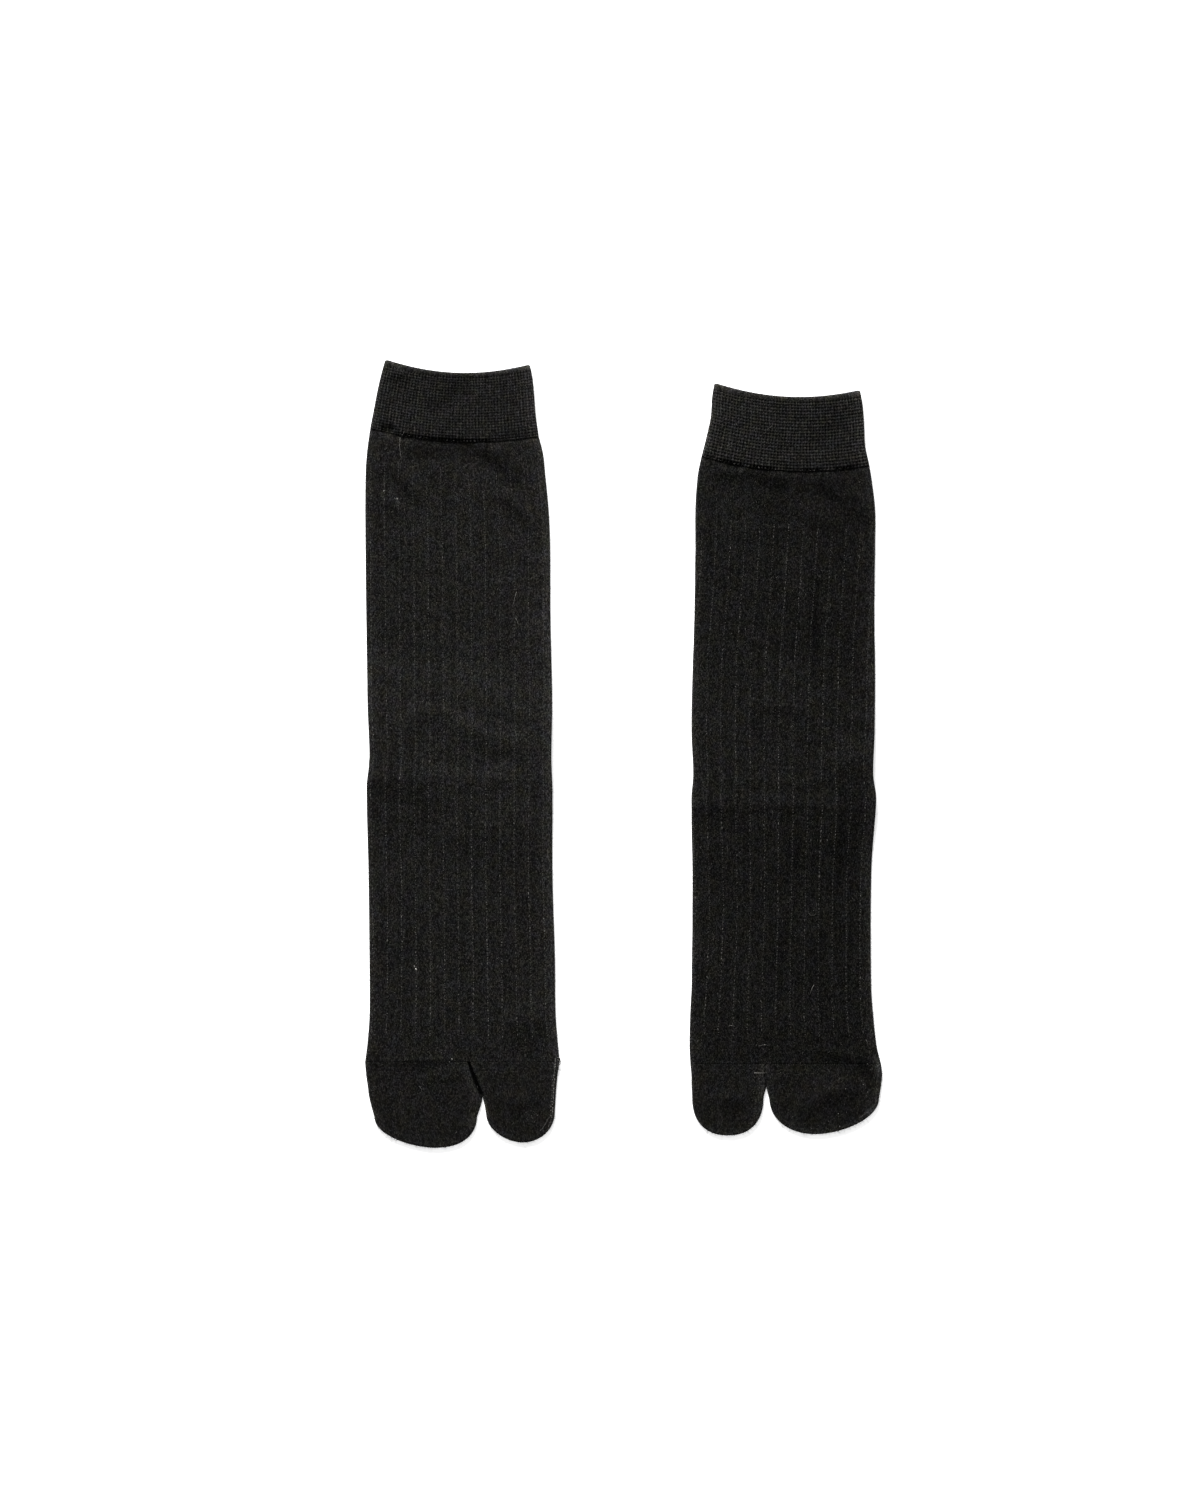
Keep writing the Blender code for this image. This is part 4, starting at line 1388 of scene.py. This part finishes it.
def make_stitching(sock, rows, specks, tree, template, material, chance):
    """Sewn and linked stitches, black painted-shade beads in holes between them, and specks of
    lint.
    """
    beads = []
    for row in rows:
        start, bend, end = Vector(row.start), Vector(row.bend), Vector(row.end)
        count = max(round(((bend - start).length + (end - bend).length) / row.step), 1)
        for i in range(count + 1):
            place = on_curve(start, bend, end, i / count)
            way = (bend - start).lerp(end - bend, i / count)
            x = place.x + chance.gauss(0, STITCH_ASTRAY)
            point, out = laid_on(tree, x, place.y + chance.gauss(0, STITCH_ASTRAY))
            turn = chance.uniform(-0.7, 0.7)
            run = (way.x + turn * way.y, way.y - turn * way.x, 0.0)
            size = row.size * chance.uniform(0.7, 1.25)
            beads.append((point, out, run, size, row.tone * chance.uniform(0.6, 1.3)))
    for speck in specks:
        point, out = laid_on(tree, speck.x, speck.y)
        beads.append((point, out, (chance.uniform(-1, 1), 1.0, 0.0), speck.size, speck.tone))
    places, outs, runs, sizes, tones = columns_of(beads)
    wide, long, high = [sizes * part for part in STITCH_SHAPE]
    points = bead_points(template, places, outs, unit(runs), wide, long, high)
    return joined(f"{sock.side}_stitching", template, points, tones, material)


def laid_hairs(hairs, tree):
    """Start, bend, end, thickness and tone of the hairs and yarn ends that lie on the cloth."""
    strands = []
    for hair in hairs:
        line = []
        for place in (hair.start, hair.bend, hair.end):
            point, out = laid_on(tree, *place)
            line.append(np.array([*place, point[2] + HAIR_UP + HAIR_OUT * out[2]]))
        strands.append((*line, hair.thick, hair.tone))
    return strands


def nap_fibres(sock, lowest, tree, chance):
    """Short fibres that lie along the cloth, all over it."""
    strands = []
    for _ in range(NAP_FIBRES):
        x = chance.uniform(sock.tube[-1].left, sock.tube[-1].right)
        y = chance.uniform(lowest, sock.cuff[0].along)
        hit, normal = tree.ray_cast(Vector((x * MM, y * MM, HIGH_UP)), DOWN)[:2]
        if hit is None:
            continue
        start, out = np.array(hit) / MM, np.array(normal)
        way = chance.gauss(math.pi / 2, 0.6)
        long = chance.uniform(0.5, 1.7)
        along = np.array([math.cos(way), math.sin(way), 0.0]) * long
        side = np.array([-math.sin(way), math.cos(way), 0.0]) * chance.uniform(-0.5, 0.5)
        tone = chance.choice(NAP_TONES)
        bend = start + along * 0.5 + side + 0.25 * out
        end = start + along + 0.1 * out
        strands.append((start + 0.02 * out, bend, end, chance.uniform(0.08, 0.2), tone))
    return strands


def edge_fibres(sock, lowest, tree, chance):
    """Fuzz that stands out all round the sock's edge, found from beside it and from its ends."""
    top = sock.cuff[0]
    strands = []
    for _ in range(EDGE_FIBRES):
        y = chance.uniform(lowest - 1, top.along + 1)
        from_left = chance.random() < 0.5
        if chance.random() < END_SHARE:
            x = chance.uniform(top.left - 4, top.right + 4)
            from_toes = chance.random() < 0.6
            y = lowest - 5 if from_toes else top.along + 8
            origin = (x, y, chance.uniform(1.0, 2.0))
            way = (0, 1 if from_toes else -1, 0)
        else:
            x = sock.tube[-1].left - 9 if from_left else sock.tube[-1].right + 9
            origin = (x, y, chance.uniform(0.8, 2.0))
            way = (1 if from_left else -1, 0, 0)
        hit, normal = tree.ray_cast(Vector(origin) * MM, Vector(way))[:2]
        if hit is None:
            continue
        start, out = np.array(hit) / MM, np.array(normal)
        out[2] = max(out[2], 0.0)
        long = min(chance.expovariate(1.4) + 0.25, LONGEST_FIBRE)
        astray = np.array([chance.uniform(-0.8, 0.8), chance.uniform(-0.8, 0.8), 0.0]) * long
        end = start + out * long * chance.uniform(0.3, 0.8) + astray
        thick = chance.uniform(0.05, 0.11)
        bend = start + out * long * 0.7
        strands.append((start - 0.05 * out, bend, end, thick, chance.uniform(0.1, 0.4)))
    return strands


def make_lint(sock, hairs, tree, template, material, chance):
    """Hairs and yarn ends on the cloth, short fibres along it, and fuzz round its edge."""
    outer_end = sock.outer[-1].along - sock.outer_tip.reach
    big_end = sock.big[-1].along - sock.big_tip.reach
    lowest = min(outer_end, big_end)
    strands = laid_hairs(hairs, tree)
    strands += nap_fibres(sock, lowest, tree, chance)
    strands += edge_fibres(sock, lowest, tree, chance)
    starts, bends, ends, thicks, tones = columns_of(strands)
    points = strand_points(template, starts, bends, ends, thicks)
    points[..., 2] = np.maximum(points[..., 2], STRAND_LOWEST)
    return joined(f"{sock.side}_lint", template, points, tones, material)


# The socks.

stripe_knit = knit_finish(
    "striped_knit", (0.0083, 0.0081, 0.0076), 4.05, grain_part=1.9, stripe_part=0.25
)
rib_knit = knit_finish(
    "rib_knit", (0.0112, 0.0109, 0.0103), 3.6, slant=0.4, bump=0.45, painted_shade_part=0.97
)
toe_knit = knit_finish("toe_knit", (0.0075, 0.0073, 0.0068), 3.5, painted_shade_part=0.97)
stripe_thread = thread_finish("stripe_thread", (0.022, 0.0215, 0.0203), (0.090, 0.087, 0.081))
loose_yarn_and_painted_gaps = thread_finish("loose_yarn_and_painted_gaps", (0.0012, 0.0012, 0.0012), (0.30, 0.29, 0.27))

bead_mesh = bead()
strand_mesh = strand(3)
chance = random.Random(7)
for sock, rows, specks, hairs in (
    (RIGHT, RIGHT_STITCHES, RIGHT_SPECKS, RIGHT_HAIRS),
    (LEFT, LEFT_STITCHES, LEFT_SPECKS, LEFT_HAIRS),
):
    body = make_body(sock, stripe_knit)
    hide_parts(f"{sock.side}_body")
    cuff = make_cuff(sock, rib_knit)
    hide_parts(f"{sock.side}_cuff")
    heel_tip = Tip(sock.heel.depth - SEAM_GAP, sock.heel.drift, HEEL_POWER)
    heel_pocket = Pocket("heel", heel_rows(sock), heel_tip, 1, nothing_raised, sock.dye.leg, 0)
    heel = make_pocket(sock, heel_pocket, stripe_knit)
    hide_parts(f"{sock.side}_heel")
    domed = lobe_raised(sock)
    # The big toe is on the right of the right sock, and on the left of the left one.
    slit = 1 if sock is RIGHT else -1
    outer_pocket = Pocket("outer_toe", sock.outer, sock.outer_tip, -1, domed, sock.dye.toes, slit)
    outer = make_pocket(sock, outer_pocket, toe_knit)
    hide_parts(f"{sock.side}_outer_toes")
    big_pocket = Pocket("big_toe", sock.big, sock.big_tip, -1, domed, sock.dye.toes, -slit)
    big = make_pocket(sock, big_pocket, toe_knit)
    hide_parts(f"{sock.side}_big_toe")
    dashes = make_pinstripes(sock, bead_mesh, stripe_thread, chance)
    cloth = surface_of([body, cuff, outer, big])
    stitching_and_painted_gaps = make_stitching(sock, rows, specks, cloth, bead_mesh, loose_yarn_and_painted_gaps, chance)
    lint = make_lint(sock, hairs, cloth, strand_mesh, loose_yarn_and_painted_gaps, chance)

# Studio.


def make_floor():
    bm = bmesh.new()
    bmesh.ops.create_grid(bm, x_segments=1, y_segments=1, size=4)
    material, _, shader = new_material("pale_floor")
    shader.inputs["Base Color"].default_value = (0.9, 0.9, 0.9, 1)
    shader.inputs["Roughness"].default_value = 0.9
    shader.inputs["Emission Color"].default_value = (1, 1, 1, 1)
    shader.inputs["Emission Strength"].default_value = 0.5
    floor = show(mesh_from(bm, "floor"), material)
    floor.location.z = -0.0001


def make_lamp(name, place, size, power):
    lamp = bpy.data.lights.new(name, "AREA")
    lamp.shape = "DISK"
    lamp.size = size
    lamp.energy = power
    obj = bpy.data.objects.new(name, lamp)
    obj.location = place
    obj.rotation_euler = (-Vector(place)).to_track_quat("-Z", "Y").to_euler()
    bpy.context.collection.objects.link(obj)


make_floor()
make_lamp("window", place=(-0.72, 2.56, 1.52), size=1.28, power=238)
make_lamp("ceiling", place=(-0.4, 0.3, 3.2), size=2.2, power=25)
world = bpy.data.worlds.new("room")
world.use_nodes = True
world.node_tree.nodes["Background"].inputs["Color"].default_value = (1, 1, 1, 1)
world.node_tree.nodes["Background"].inputs["Strength"].default_value = 0.3
bpy.context.scene.world = world

camera_data = bpy.data.cameras.new("camera")
camera_data.lens = 100
camera_data.sensor_width = 36
camera = bpy.data.objects.new("camera", camera_data)
camera.location = (-0.0113, 0.0020, 2.053)
bpy.context.collection.objects.link(camera)
bpy.context.scene.camera = camera
bpy.context.scene.view_settings.view_transform = "Standard"
